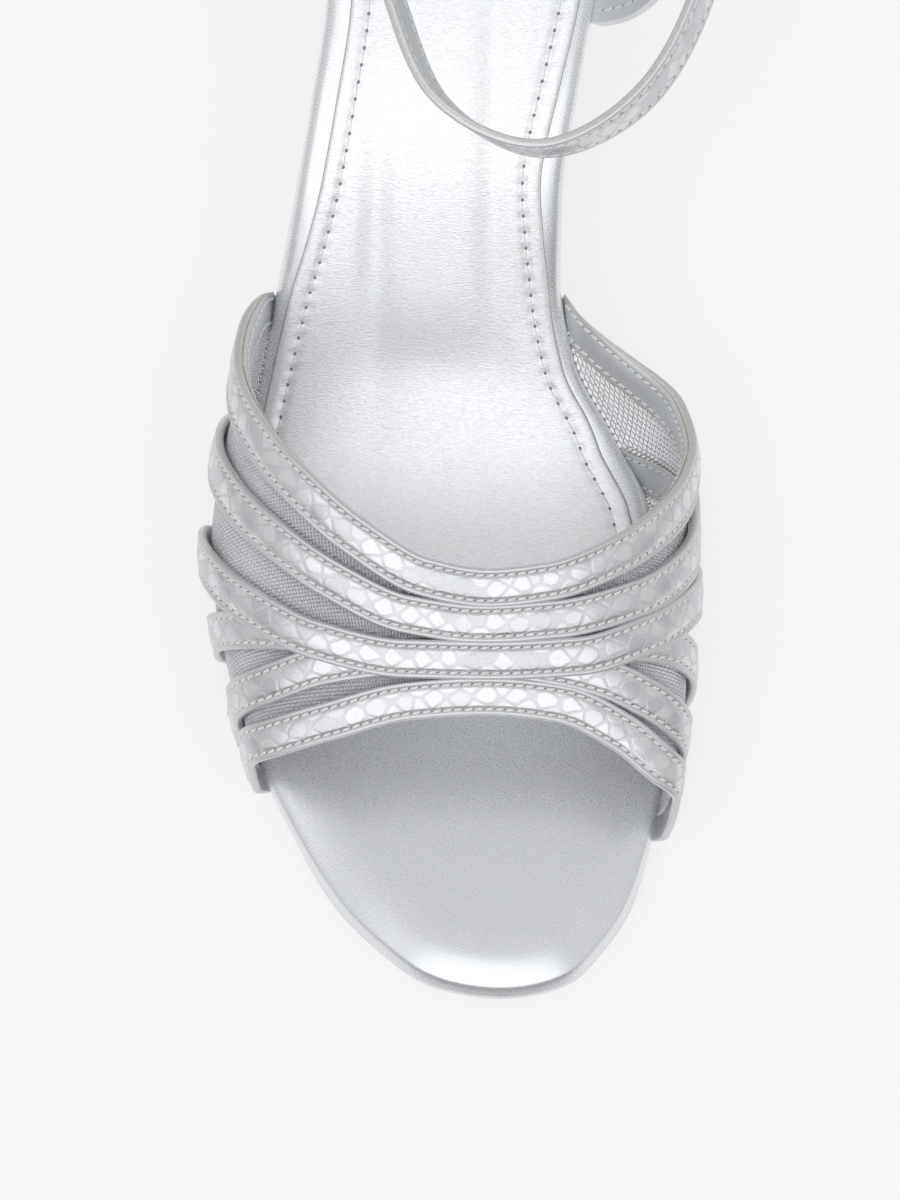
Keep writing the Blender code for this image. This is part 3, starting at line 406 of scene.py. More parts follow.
# Plain finishes: colour, roughness, metal share and grain
FINISHES = {
    "thread_silver": ((0.90, 0.90, 0.89), 0.45, 0.1, THREAD),
    # Dark grey marks that paint the shade in the needle holes and on the stitches' dark sides
    "needle_hole_shade": ((0.26, 0.26, 0.265), 0.8, 0.0, LEATHER),
    "cream_edge": ((0.70, 0.66, 0.58), 0.6, 0.0, LEATHER),
    # Cut edge of the sock: its own grey-beige, darkened to paint the shadow line along the sock's edge
    "cut_edge_and_shadow_line": ((0.52, 0.50, 0.47), 0.6, 0.0, LEATHER),
    "wrap_foil": ((0.83, 0.84, 0.855), 0.3, 0.7, FOIL),
    "plain_foil": ((0.70, 0.705, 0.715), 0.34, 0.72, FOIL),
    "lining_foil": ((0.70, 0.71, 0.72), 0.45, 0.62, FOIL),
    "outsole_resin": ((0.66, 0.62, 0.55), 0.55, 0.0, LEATHER),
    "top_piece_rubber": ((0.035, 0.035, 0.035), 0.7, 0.0, LEATHER),
    "weft_silver": ((1.0, 1.0, 1.0), 0.34, 0.35, YARN),
    # Warp yarn greyer than the weft: partly its own colour, partly painted shade within the weave
    "warp_grey_and_shade": ((0.52, 0.52, 0.57), 0.34, 0.35, YARN),
}

# Colour sockets of a mix node
MIX_COLOURS = (6, 7)
MIX_RESULT = 2

# Camera of the photograph and the studio
PHOTO_WIDTH = 900
PHOTO_HEIGHT = 1200
PHOTO_SCALE = 5.55
CAMERA_ELEVATION = 71.0
CAMERA_DISTANCE = 850.0
CAMERA_TARGET = (0.0, 73.5, 8.8)
SENSOR = 36.0
FLOOR_SIZE = 6000.0
FLOOR_DROP = 0.2
FLOOR_ROUGHNESS = 0.9
FLOOR_SPECK = 90.0
FLOOR_GLOSS = (0.86, 0.94)
FLOOR_TONE = 0.35
FLOOR_GLOW = 0.625
# Light by height over the horizon, and the dim strip low in front of the toe
SURROUND_COLOUR = (0.975, 0.985, 1.0)
SKY_LIGHT = 0.66
SKY_REACH = 0.4
HORIZON_LIGHT = 0.5
GROUND_LIGHT = 0.92
GROUND_REACH = -0.3
FRONT_DIM = 0.5
FRONT_HEIGHTS = (0.5, 0.15)
FRONT_REACH = (-0.3, -0.85)
# Key light: its strength, angles to the left and down from straight above, and its soft rim
KEY_LIGHT = 0.9
KEY_ANGLES = (8.0, 35.0)
KEY_EDGES = (0.72, 0.88)
SMOOTH_ANGLE = 50.0


def flow(keys, values, at):
    """Monotone cubic through the values at the keys, held level past the ends."""
    step = np.diff(keys)
    rate = np.diff(values) / step
    slope = np.concatenate([[rate[0]], np.zeros(len(keys) - 2), [rate[-1]]])
    for i in range(1, len(keys) - 1):
        if rate[i - 1] * rate[i] > 0:
            before = 2 * step[i] + step[i - 1]
            after = step[i] + 2 * step[i - 1]
            slope[i] = (before + after) / (before / rate[i - 1] + after / rate[i])
    at = np.clip(np.asarray(at, float), keys[0], keys[-1])
    i = np.clip(np.searchsorted(keys, at, side="right") - 1, 0, len(keys) - 2)
    t = (at - keys[i]) / step[i]
    start = (1 + 2 * t) * (1 - t) ** 2 * values[i] + t * (1 - t) ** 2 * step[i] * slope[i]
    end = t * t * (3 - 2 * t) * values[i + 1] - t * t * (1 - t) * step[i] * slope[i + 1]
    return start + end


def unit(vectors):
    """Vectors scaled to length one."""
    return vectors / np.linalg.norm(vectors, axis=-1, keepdims=True)


def circle(count):
    """Angles of evenly spaced points round a circle."""
    return np.arange(count) * 2 * math.pi / count


def running(steps):
    """Sum of the steps up to each point, from 0."""
    return np.concatenate([[0], np.cumsum(steps)])


def run_of(line):
    """Distance of each point of a line from its start."""
    return running(np.linalg.norm(np.diff(line, axis=0), axis=1))


def sample(at, run, line):
    """Rows of a line at distances along it."""
    return np.stack([np.interp(at, run, column) for column in line.T], -1)


def smooth(t):
    """Soft step from 0 to 1, held level past the ends."""
    t = np.clip(t, 0, 1)
    return t * t * (3 - 2 * t)


def footbed_line():
    """The footbed's side view: distance along it, distance behind the toe, height and slope."""
    along = np.linspace(0, LENGTH, round(LENGTH / BED_STEP) + 1)
    slope = np.radians(flow(PITCH["along"], PITCH["slope"], along))
    middle = (slope[1:] + slope[:-1]) / 2
    back = running(np.cos(middle) * BED_STEP)
    height = running(np.sin(middle) * BED_STEP)
    return along, back, height - height.min() + FOOTBED_HEIGHT, slope


BED_ALONG, BED_BACK, BED_HEIGHT, BED_SLOPE = footbed_line()


def bed_points(along, across, depth):
    """Points under the footbed line at a depth square to it."""
    slope = np.interp(along, BED_ALONG, BED_SLOPE)
    back = np.interp(along, BED_ALONG, BED_BACK) + depth * np.sin(slope)
    height = np.interp(along, BED_ALONG, BED_HEIGHT) - depth * np.cos(slope)
    return np.stack(np.broadcast_arrays(across, back, height), -1).astype(float)


def end_angle(along):
    """Angle that runs from 0 at the toe tip to pi at the heel and rounds both ends of the outline."""
    share = (np.asarray(along, float) - TOE_TIP) / (LENGTH - TOE_TIP)
    return np.arccos(np.clip(1 - 2 * share, -1, 1))


def end_place(angle):
    """Distance along the footbed at an end angle."""
    return TOE_TIP + (LENGTH - TOE_TIP) * (1 - np.cos(angle)) / 2


def outline_edges(along):
    """Lateral and medial edge of the insole."""
    keys = end_angle(OUTLINE["along"])
    at = end_angle(along)
    return flow(keys, OUTLINE["lateral"], at), flow(keys, OUTLINE["medial"], at)


def outline_chain(count):
    """Stations of the whole outline, close together where it turns."""
    along = end_place(np.linspace(0, math.pi, count))
    return (along, *outline_edges(along))


def outline_loop(chain):
    """The outline as one loop of (along, across), with each station's place on both sides of it."""
    along, lateral, medial = chain
    count = len(along)
    first = 1 if medial[0] - lateral[0] < GAP else 0
    last = count - 1 if medial[-1] - lateral[-1] < GAP else count
    left = np.stack([along, lateral], -1)
    right = np.stack([along, medial], -1)[first:last][::-1]
    left_index = list(range(count))
    right_index = [count + last - 1 - i for i in range(count)]
    if first:
        right_index[0] = 0
    if last < count:
        right_index[-1] = count - 1
    return np.concatenate([left, right]), left_index, right_index


SOLE_LOOP = outline_loop(outline_chain(SOLE_STATIONS))[0]
FINE_LOOP, FINE_LEFT, FINE_RIGHT = outline_loop(outline_chain(2 * SOLE_STATIONS))


def inset_loop(loop, inset):
    """The loop moved inward by a distance."""
    ahead = unit(np.roll(loop, -1, axis=0) - loop)
    behind = unit(loop - np.roll(loop, 1, axis=0))
    tangent = unit(ahead + behind)
    inward = np.stack([-tangent[:, 1], tangent[:, 0]], -1)
    return loop + inward * np.reshape(inset, (-1, 1))


def inner_sides(inner, stations, key=np.asarray):
    """Both edges of an inset outline at stations, found by a key of the distance along it."""
    sides = (inner[FINE_LEFT], inner[FINE_RIGHT])
    return [np.interp(key(stations), key(side[:, 0]), side[:, 1]) for side in sides]


def ring_faces(rings, count, closed=True):
    """Quads between rings of the same number of points."""
    low = np.arange(rings - 1)[:, None] * count
    here = np.arange(count if closed else count - 1)[None, :]
    there = (here + 1) % count
    corners = np.broadcast_arrays(low + here, low + there, low + count + there, low + count + here)
    return np.stack(corners, -1).reshape(-1, 4).tolist()


def cap_faces(left, right, start):
    """Cross strips that close a ring of an outline."""
    faces = []
    for i in range(len(left) - 1):
        corners = (left[i], right[i], right[i + 1], left[i + 1])
        faces.append([start + c for c in dict.fromkeys(corners)])
    return faces


def dress(piece, slot, *nodes):
    """Fixes a piece to the shoe and hides the solids that it stands for; its slot is not used."""
    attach(piece, "root")
    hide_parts(*nodes)
    return piece


def build(name, points, faces, materials, uv=None, pick=None, turn=True, weld=False):
    """Mesh object of the row frame, with a flat map in millimetres and a material for each face."""
    mesh = bpy.data.meshes.new(name)
    placed = (np.asarray(points, float) - (0.0, TREAD_BACK, 0.0)) * MM
    mesh.from_pydata(placed.tolist(), [], faces)
    for material in materials:
        mesh.materials.append(material)
    if pick is not None:
        mesh.polygons.foreach_set("material_index", np.asarray(pick, np.int32))
    if uv is not None:
        corner = np.empty(len(mesh.loops), np.int32)
        mesh.loops.foreach_get("vertex_index", corner)
        layer = mesh.uv_layers.new(name="flat")
        layer.data.foreach_set("uv", np.asarray(uv, np.float32)[corner].ravel())
    if turn:
        bm = bmesh.new()
        bm.from_mesh(mesh)
        if weld:
            bmesh.ops.remove_doubles(bm, verts=bm.verts, dist=WELD * MM)
        bmesh.ops.recalc_face_normals(bm, faces=bm.faces)
        bm.to_mesh(mesh)
        bm.free()
    mesh.shade_smooth()
    mesh.set_sharp_from_angle(angle=math.radians(SMOOTH_ANGLE))
    piece = bpy.data.objects.new(name, mesh)
    bpy.context.collection.objects.link(piece)
    return piece


def loft(name, rings, materials, uv=None, pick=None):
    """Closed body through rings of points, capped at both ends; pick has each side strip's material."""
    count, width = rings.shape[:2]
    faces = ring_faces(count, width)
    faces.append(list(range(width)))
    faces.append([(count - 1) * width + i for i in range(width)])
    chosen = None if pick is None else np.append(np.tile(pick, count - 1), [0, 0])
    return build(name, rings.reshape(-1, 3), faces, materials, uv, chosen)


def hoop(name, rings, material):
    """Closed body through a circle of rings, the last one joined to the first."""
    points = np.concatenate(rings)
    faces = ring_faces(len(rings) + 1, len(rings[0]))
    return build(name, points, [[i % len(points) for i in face] for face in faces], [material])


def stack(name, rings, left, right, materials, pick=None):
    """Closed body through rings of an outline with strip caps; pick has each side strip's material."""
    count = len(rings[0])
    caps = cap_faces(left, right, 0) + cap_faces(left, right, count * (len(rings) - 1))
    points = np.concatenate(rings)
    chosen = None if pick is None else np.append(np.repeat(pick, count), np.zeros(len(caps), int))
    return build(name, points, ring_faces(len(rings), count) + caps, materials, points[:, :2], chosen)


def full_section(half):
    """A strap's whole section from one half of it, as a loop."""
    across = np.concatenate([half["across"], -half["across"][-2:0:-1]])
    layer = np.concatenate([half["layer"], half["layer"][-2:0:-1]])
    return across, layer


def flat_map(along, across):
    """Flat map of a grid of points from both distances on it."""
    return np.stack(np.broadcast_arrays(along, across), -1).reshape(-1, 2)


def toe_share(along):
    """Share of the toe's own edge: 1 round the toe and 0 from its straps on."""
    return smooth((TOE_WALL_ENDS[1] - along) / (TOE_WALL_ENDS[1] - TOE_WALL_ENDS[0]))


def sole_rings(chain, rings):
    """Rings that follow an outline of the sole, with each station's place on both sides of it."""
    loop, left, right = outline_loop(chain)
    toe = toe_share(loop[:, 0])
    points = []
    for row in zip(*rings.values()):
        inset, depth, toe_inset, toe_depth = row if "toe_inset" in rings else row * 2
        along, across = inset_loop(loop, inset + (toe_inset - inset) * toe).T
        points.append(bed_points(along, across, depth + (toe_depth - depth) * toe))
    return points, left, right


def make_insole(look):
    """Footbed board wrapped in foil, with a softly rolled edge."""
    rings = sole_rings(outline_chain(SOLE_STATIONS), INSOLE_RINGS)
    dress(stack("insole_cover", *rings, [look["wrap_foil"]]), "insole", "insole")


def make_outsole(look):
    """Thin sole with a painted edge under the insole, from the toe to the heel's front face."""
    inner = inset_loop(FINE_LOOP, OUTSOLE_INSET)
    stations = end_place(np.linspace(end_angle(inner[0, 0]), end_angle(OUTSOLE_END), SOLE_STATIONS))
    rings = sole_rings((stations, *inner_sides(inner, stations, end_angle)), OUTSOLE_RINGS)
    painted = np.ones(len(OUTSOLE_RINGS["inset"]) - 1, int)
    finishes = [look["outsole_resin"], look["plain_foil"]]
    dress(stack("outsole_sheet", *rings, finishes, painted), "outsole", "outsole")


def sock_sides():
    """Stations of the sock and its two edges, rounded at the front."""
    inset = np.empty(len(FINE_LOOP))
    for index, side in ((FINE_LEFT, "lateral"), (FINE_RIGHT, "medial")):
        inset[index] = flow(SOCK_INSETS["along"], SOCK_INSETS[side], FINE_LOOP[index, 0])
    inner = inset_loop(FINE_LOOP, inset)
    back_end = inner[FINE_LEFT[-1], 0]
    start, end = end_angle(SOCK_START), end_angle(back_end)
    turn = np.linspace(0, 1, SOCK_STATIONS) ** SOCK_CROWDING
    stations = end_place(start + (end - start) * turn)
    stations[-1] = back_end
    lateral, medial = inner_sides(inner, stations)
    middle = (lateral + medial) / 2
    nose = np.clip((stations - SOCK_START) / SOCK_ROUND, 0, 1)
    spread = np.sqrt(1 - (1 - nose) ** 2)
    return stations, middle + (lateral - middle) * spread, middle + (medial - middle) * spread


def edge_distance(places, loop):
    """Distance of places from a closed line, both in the plane of the footbed."""
    step = np.roll(loop, -1, axis=0) - loop
    length = np.maximum((step * step).sum(1), TINY)
    nearest = []
    for place in places.reshape(-1, *places.shape[-2:]):
        away = place[:, None] - loop[None]
        t = np.clip((away * step).sum(-1) / length, 0, 1)
        nearest.append(np.linalg.norm(away - t[..., None] * step, axis=-1).min(1))
    return np.array(nearest).reshape(places.shape[:-1])


def sock_rise(along, across, inside, count):
    """Height of the sock's top over the footbed: rolled edge, stitch trough and soft folds."""
    top = slice(INSOLE_TOP_RING, None)
    edge = edge_distance(np.stack([along, across], -1), SOLE_LOOP)
    rise = GAP + SOCK_EDGE - np.interp(edge, INSOLE_RINGS["inset"][top], INSOLE_RINGS["depth"][top])
    rise = rise + SOCK_RISE * (1 - np.exp(-inside / SOCK_ROLL))
    off = inside - SOCK_STITCH_INSET
    border = np.clip(inside / SOCK_STITCH_INSET, 0, 1)
    rise = rise + SOCK_PUFF * np.sin(math.pi * border) * (off < 0)
    pucker = 1 + SOCK_PUCKER * np.cos(2 * math.pi * count)
    rise = rise - SOCK_STITCH_TROUGH * pucker * np.exp(-((off / SOCK_STITCH_SPREAD) ** 2))
    still = 1 - np.exp(-((np.maximum(off, 0) / SOCK_CUSHION_REACH) ** 2))
    rise = rise + SOCK_CUSHION * still
    for a, x, reach_a, reach_x, lift in zip(*SOCK_FOLDS.values()):
        rise = rise + still * lift * np.exp(-(((along - a) / reach_a) ** 2) - ((across - x) / reach_x) ** 2)
    return rise


def sock_seams(stations, lateral, medial):
    """Both seams of the sock: places in the footbed's plane, points, normals and count of holes."""
    seams = []
    wide = (medial - lateral) > SOCK_SEAM_ROOM
    for side, way in ((lateral, 1.0), (medial, -1.0)):
        edge = np.stack([stations, side], -1)
        ahead = unit(np.gradient(edge, axis=0))
        place = (edge + np.stack([-ahead[:, 1], ahead[:, 0]], -1) * way * SOCK_STITCH_INSET)[wide].T
        rise = sock_rise(*place, np.full(len(place[0]), SOCK_STITCH_INSET), 0.0)
        line = bed_points(*place, -rise)
        run = run_of(line)
        holes = int(run[-1] / SOCK_STITCH["pitch"])
        seams.append((place, line, unit(bed_points(*place, -rise - 1) - line), run / run[-1] * holes))
    return seams


def make_sock(look):
    """Cushioned lining with a raw edge, darkened as a painted shadow line, and a stitched border."""
    stations, lateral, medial = sock_sides()
    t = np.sin(np.linspace(-math.pi / 2, math.pi / 2, SOCK_COLUMNS))
    across = (lateral + medial)[:, None] / 2 + (medial - lateral)[:, None] / 2 * t
    along = np.repeat(stations[:, None], SOCK_COLUMNS, 1)
    loop = np.concatenate([np.stack([stations, lateral], -1), np.stack([stations, medial], -1)[::-1]])
    inside = edge_distance(np.stack([along, across], -1), loop)
    seams = sock_seams(stations, lateral, medial)
    counts = [np.interp(stations, np.maximum.accumulate(place[0]), count) for place, _, _, count in seams]
    count = np.where(t < 0, counts[0][:, None], counts[1][:, None])
    points = bed_points(along, across, -sock_rise(along, across, inside, count)).reshape(-1, 3)
    faces = ring_faces(SOCK_STATIONS, SOCK_COLUMNS, closed=False)
    edge = np.arange(SOCK_STATIONS) * SOCK_COLUMNS
    faces += cap_faces(edge, edge + SOCK_COLUMNS - 1, 0)
    # The outermost columns get the cut edge finish, which paints a shadow line along the sock's edge
    cut_shadow_rim = np.zeros(SOCK_COLUMNS - 1, int)
    cut_shadow_rim[:SOCK_CUT_SHADOW_COLUMNS] = cut_shadow_rim[-SOCK_CUT_SHADOW_COLUMNS:] = 1
    pick = np.append(np.tile(cut_shadow_rim, SOCK_STATIONS - 1), np.zeros(SOCK_STATIONS - 1, int))
    finishes = [look["sock_foil"], look["cut_edge_and_shadow_line"]]
    sock = build("sock_lining", points, faces, finishes, flat_map(across, along), pick, weld=True)
    dress(sock, "sock", "sock")
    lines = [(line, normal) for _, line, normal, _ in seams]
    sew_rows("sock", lines, SOCK_STITCH, look, "sock", SOCK_HOLE_SHADE, SOCK_LIFTS)


def stitch_template():
    """Points and faces of one stitch, one by one by one in size."""
    angle = circle(STITCH_SIDES)
    run, radius = STITCH_RINGS["run"][:, None] / 2, STITCH_RINGS["radius"][:, None] / 2
    rings = np.stack(np.broadcast_arrays(run, radius * np.cos(angle), radius * np.sin(angle)), -1)
    faces = ring_faces(len(rings), STITCH_SIDES)
    faces.append(list(range(STITCH_SIDES))[::-1])
    faces.append([(len(rings) - 1) * STITCH_SIDES + i for i in range(STITCH_SIDES)])
    return rings.reshape(-1, 3), faces


def hole_shade_template():
    """Points and faces of one flat dark mark that paints the shade of a needle hole."""
    angle = circle(STITCH_SIDES)
    ring = np.stack([np.cos(angle) / 2, np.sin(angle) / 2, np.zeros(STITCH_SIDES)], -1)
    points = np.concatenate([ring, [[0, 0, 0.5], [0, 0, -0.5]]])
    faces = []
    for i in range(STITCH_SIDES):
        j = (i + 1) % STITCH_SIDES
        faces.append([i, j, STITCH_SIDES])
        faces.append([j, i, STITCH_SIDES + 1])
    return points, faces


def sew(name, lines, stitch, material, hole_shade=None, lift=0.0):
    """Stitches along lines with their normals, or the painted shade of the needle holes between them, as one
    mesh.
    """
    shape, shape_faces = stitch_template() if hole_shade is None else hole_shade_template()
    points, faces = [], []
    for line, normal in lines:
        run = run_of(line)
        count = int(run[-1] / stitch["pitch"])
        pitch = run[-1] / count
        at = (np.arange(count) + (0.5 if hole_shade is None else 1.0)) * pitch
        at = at[at < run[-1] - pitch * SEAM_END_ROOM]
        centre = sample(at, run, line)
        up = unit(sample(at, run, normal))
        ahead = sample(at + GAP, run, line) - sample(at - GAP, run, line)
        ahead = unit(ahead - up * (ahead * up).sum(-1, keepdims=True))
        side = np.cross(up, ahead)
        stretched = (stitch["length"] * pitch / stitch["pitch"], stitch["width"], stitch["height"])
        *size, twist = (*stretched, stitch["twist"]) if hole_shade is None else hole_shade
        turn = math.radians(twist)
        along = ahead * math.cos(turn) + side * math.sin(turn)
        cross = side * math.cos(turn) - ahead * math.sin(turn)
        x, y, z = (shape * size).T[..., None, None]
        batch = centre + x * along + y * cross + (z + lift) * up
        for k in range(len(at)):
            start = len(points) * len(shape)
            faces += [[start + c for c in face] for face in shape_faces]
            points.append(batch[:, k])
    return build(name, np.concatenate(points), faces, [material], turn=False)


def sew_rows(name, lines, stitch, look, slot, hole_shade=STRAP_HOLE_SHADE, lifts=(0.0, 0.0)):
    """Stitches along lines and the painted shade of the needle holes between them, each lifted off the
    surface.
    """
    dress(sew(name + "_stitches", lines, stitch, look["thread_silver"], lift=lifts[0]), slot)
    # The dark marks between the stitches are painted shade of the needle holes
    dress(sew(name + "_stitch_hole_shades", lines, stitch, look["needle_hole_shade"], hole_shade, lifts[1]), slot)


def last_section(back):
    """Girth line of the last in one upright plane, from the lateral to the medial edge of the insole."""
    bed = np.interp(back, BED_BACK, BED_HEIGHT)
    belt_line = bed_points(BED_ALONG, 0.0, INSOLE_BELT)
    drop = bed - np.interp(back, belt_line[:, 1], belt_line[:, 2])
    edge_lateral, edge_medial = outline_edges(np.interp(back, belt_line[:, 1], BED_ALONG))
    crown = flow(LAST["back"], LAST["crown"], back) - BELT_HEIGHT
    rise = np.linspace(0, 1, FLANK_POINTS)
    turn = np.linspace(0, math.pi / 2, CROWN_POINTS)[1:]
    halves = []
    for side, edge in (("lateral", edge_lateral - LAST_REST), ("medial", edge_medial + LAST_REST)):
        reach = flow(LAST["back"], LAST[side], back)
        wide = -reach if side == "lateral" else reach
        low_across = edge + (wide - edge) * np.sin(rise * math.pi / 2)
        low_height = bed - drop + (drop + BELT_HEIGHT) * rise
        high_across = CROWN_OFFSET + (wide - CROWN_OFFSET) * np.cos(turn) ** (2 / CROWN_POWER)
        high_height = bed + BELT_HEIGHT + crown * np.sin(turn) ** (2 / CROWN_POWER)
        halves.append(np.stack([np.append(low_across, high_across), np.append(low_height, high_height)], -1))
    line = np.concatenate([halves[0], halves[1][::-1][1:]])
    run = run_of(line)
    share = np.linspace(0, 1, GIRTH_POINTS)
    across, height = sample(share, run / run[-1], line).T
    return np.stack([across, np.full(GIRTH_POINTS, float(back)), height], -1)


LAST_SHEET = np.array([last_section(back) for back in range(LAST_START, LAST_END + 1)])


def last_points(back, share):
    """Points of the last's surface."""
    row = np.clip(back - LAST_START, 0, len(LAST_SHEET) - SHEET_RIM)
    column = np.clip(share * (GIRTH_POINTS - 1), 0, GIRTH_POINTS - SHEET_RIM)
    i, j = row.astype(int), column.astype(int)
    p, q = (row - i)[..., None], (column - j)[..., None]
    near = (1 - q) * LAST_SHEET[i, j] + q * LAST_SHEET[i, j + 1]
    far = (1 - q) * LAST_SHEET[i + 1, j] + q * LAST_SHEET[i + 1, j + 1]
    return (1 - p) * near + p * far


def last_slopes(back, share):
    """Change of the last's surface per millimetre behind the toe and per share of the girth."""
    low, high = np.clip(share - SLOPE_SHARE, 0, 1), np.clip(share + SLOPE_SHARE, 0, 1)
    by_back = last_points(back + SLOPE_BACK, share) - last_points(back - SLOPE_BACK, share)
    by_back = by_back / (2 * SLOPE_BACK)
    by_share = (last_points(back, high) - last_points(back, low)) / (high - low)[..., None]
    return by_back, by_share


def last_normals(back, share):
    """Outward normals of the last's surface."""
    by_back, by_share = last_slopes(back, share)
    return unit(np.cross(by_share, by_back))


def beside(back, share, shift):
    """Places on the last at a sideways shift from the places given."""
    target = last_points(back, share) + shift
    for _ in range(SHIFT_ROUNDS):
        by_back, by_share = last_slopes(back, share)
        miss = target - last_points(back, share)
        a = (by_back * by_back).sum(-1)
        b = (by_back * by_share).sum(-1)
        c = (by_share * by_share).sum(-1)
        p = (miss * by_back).sum(-1)
        q = (miss * by_share).sum(-1)
        scale = a * c - b * b
        back = back + (c * p - b * q) / scale
        share = np.clip(share + (a * q - b * p) / scale, 0, 1)
    return back, share


def tuck_points(place, normals, end, inner, height):
    """End of a strap line that turns under the insole's rounded edge and gets thinner."""
    base = last_points(place[0][end], place[1][end])
    normal = normals[end]
    level = np.array([normal[0], normal[1], 0.0])
    start = math.atan2(-normal[2], np.linalg.norm(level))
    level = level / np.linalg.norm(level)
    along = np.interp(place[0][end], BED_BACK, BED_ALONG)
    down = np.array([0.0, 0.0, -1.0]) / math.cos(np.interp(along, BED_ALONG, BED_SLOPE))
    middle = base - (level * math.cos(start) + down * math.sin(start)) * TUCK_RADIUS
    points = []
    for step in range(1, TUCK_STEPS + 1):
        turn = start + (math.radians(TUCK_ANGLE) - start) * step / TUCK_STEPS
        thin = 1 - (1 - TUCK_SKIVE) * step / TUCK_STEPS
        reach = TUCK_RADIUS + inner + (height - inner) * thin
        points.append(middle + (level * math.cos(turn) + down * math.sin(turn)) * reach)
    return np.array(points)


def drawn_to_edge(back, share, edge):
    """A strap line whose last stations are spread anew so that it ends on the insole's edge."""
    end_back, end_share = back[-END_STATIONS:], share[-END_STATIONS:]
    arrived = np.flatnonzero(np.abs(end_share - edge) < EDGE_NEAR)
    if len(arrived):
        end_back, end_share = end_back[: arrived[0] + 1], end_share[: arrived[0] + 1]
    else:
        rate = (end_back[-1] - end_back[-2]) / (end_share[-1] - end_share[-2])
        end_back = np.append(end_back, end_back[-1] + rate * (edge - end_share[-1]))
        end_share = np.append(end_share, edge)
    run = np.linspace(0, 1, len(end_share))
    at = np.linspace(0, 1, END_STATIONS)
    spread = [np.interp(at, run, line) for line in (end_back, end_share)]
    return [np.append(line[:-END_STATIONS], end) for line, end in zip((back, share), spread)]


def end_fade(count):
    """Share that grows from 0 to 1 over a strap line's last stations."""
    return smooth((np.arange(count) - (count - END_STATIONS)) / (END_STATIONS - 1))


def strap_columns(name, across_list, height_list, tucked=True):
    """Lines along a strap at places and heights of its section, drawn to the insole's edge."""
    route = ROUTES[name]
    inner = LAYERS[name][0]
    share = np.linspace(route["share"][0], route["share"][-1], GIRTH_POINTS)
    length = run_of(last_points(flow(route["share"], route["back"], share), share))[-1]
    share = np.linspace(route["share"][0], route["share"][-1], round(length / STRAP_STEP))
    back = flow(route["share"], route["back"], share)
    along = unit(np.gradient(last_points(back, share), axis=0))
    side = np.cross(last_normals(back, share), along)
    fade = end_fade(len(share))
    fade = fade * (share[-1] == 1) + fade[::-1] * (share[0] == 0)
    columns = []
    for across, height in zip(across_list, height_list):
        place = beside(back, share, side * (across * STRAP_WIDTH / 2))
        if share[0] == 0:
            place = [line[::-1] for line in drawn_to_edge(place[0][::-1], place[1][::-1], 0)]
        if share[-1] == 1:
            place = drawn_to_edge(*place, 1)
        left = 1 - END_DROP.get(name, 0) * (across + 1) / 2 * fade
        normals = last_normals(*place)
        column = last_points(*place) + normals * (height * left)[:, None]
        if tucked and share[0] == 0:
            tuck = tuck_points(place, normals, 0, inner * left[0], height * left[0])
            column = np.concatenate([tuck[::-1], column])
        if tucked and share[-1] == 1:
            tuck = tuck_points(place, normals, -1, inner * left[-1], height * left[-1])
            column = np.concatenate([column, tuck])
        columns.append(column)
    return np.stack(columns, 1)


def strap_map(grid, middle, across, order):
    """Flat map of a strap: distance along it and place across it, apart from the other straps."""
    run = run_of(grid[:, middle]) + order * LENGTH
    return flat_map(run[:, None], across * STRAP_WIDTH / 2)


def stitch_rows(name, height, way, tucked):
    """Both stitch lines of a strap at a height, with normals to the outside or the inside."""
    rows = []
    for side in (-1, 1):
        place = [side * STRAP_STITCH_ACROSS]
        base = height + lining_rise(name, np.array(place))[0] * (way < 0)
        line = strap_columns(name, place, [base], tucked)[:, 0]
        over = strap_columns(name, place, [base + way], tucked)[:, 0]
        rows.append((line, unit(over - line)))
    return rows


def lining_rise(name, across):
    """Height that the collar's lining gains towards its rear edge, where it meets the strap."""
    return COLLAR_LINING_RISE * np.clip(across, 0, 1) ** 2 * (name == "collar")


def make_vamp_straps(look):
    """The forefoot straps with rolled edges, a raw rear edge, two stitch rows and a scale print."""
    foil, lining, raw = look["strap_foil"], look["lining_foil"], look["cream_edge"]
    across, layer = full_section(STRAP_HALF)
    strip = (layer + np.roll(layer, -1)) / 2
    pick = (strip < STRAP_LINING_LAYER).astype(int)
    pick[(strip >= STRAP_LINING_LAYER) & (strip < STRAP_RAW_LAYER) & (across > 0)] = 2
    rows = []
    for order, (name, (inner, outer)) in enumerate(LAYERS.items()):
        grid = strap_columns(name, across, inner + (outer - inner) * layer)
        uv = strap_map(grid, len(STRAP_HALF["across"]) - 1, across, order)
        dress(loft(name + "_strap", grid, [foil, lining, raw], uv, pick), "straps", "vamp_straps")
        rows += stitch_rows(name, inner + (outer - inner) * STRAP_STITCH_LAYER, 1.0, True)
    across, height = LINING_SECTION.values()
    pick = np.where(np.abs(across + np.roll(across, -1)) / 2 > LINING_EDGE, 1, 0)
    for order, name in enumerate(LINED_STRAPS):
        grid = strap_columns(name, across, height + lining_rise(name, across), False)
        uv = strap_map(grid, 1, across, order)
        dress(loft(name + "_lining", grid, [lining, raw], uv, pick), "straps")
        rows += stitch_rows(name, LINING_STITCH_HEIGHT, -1.0, False)
    sew_rows("vamp", rows, STRAP_STITCH, look, "straps")


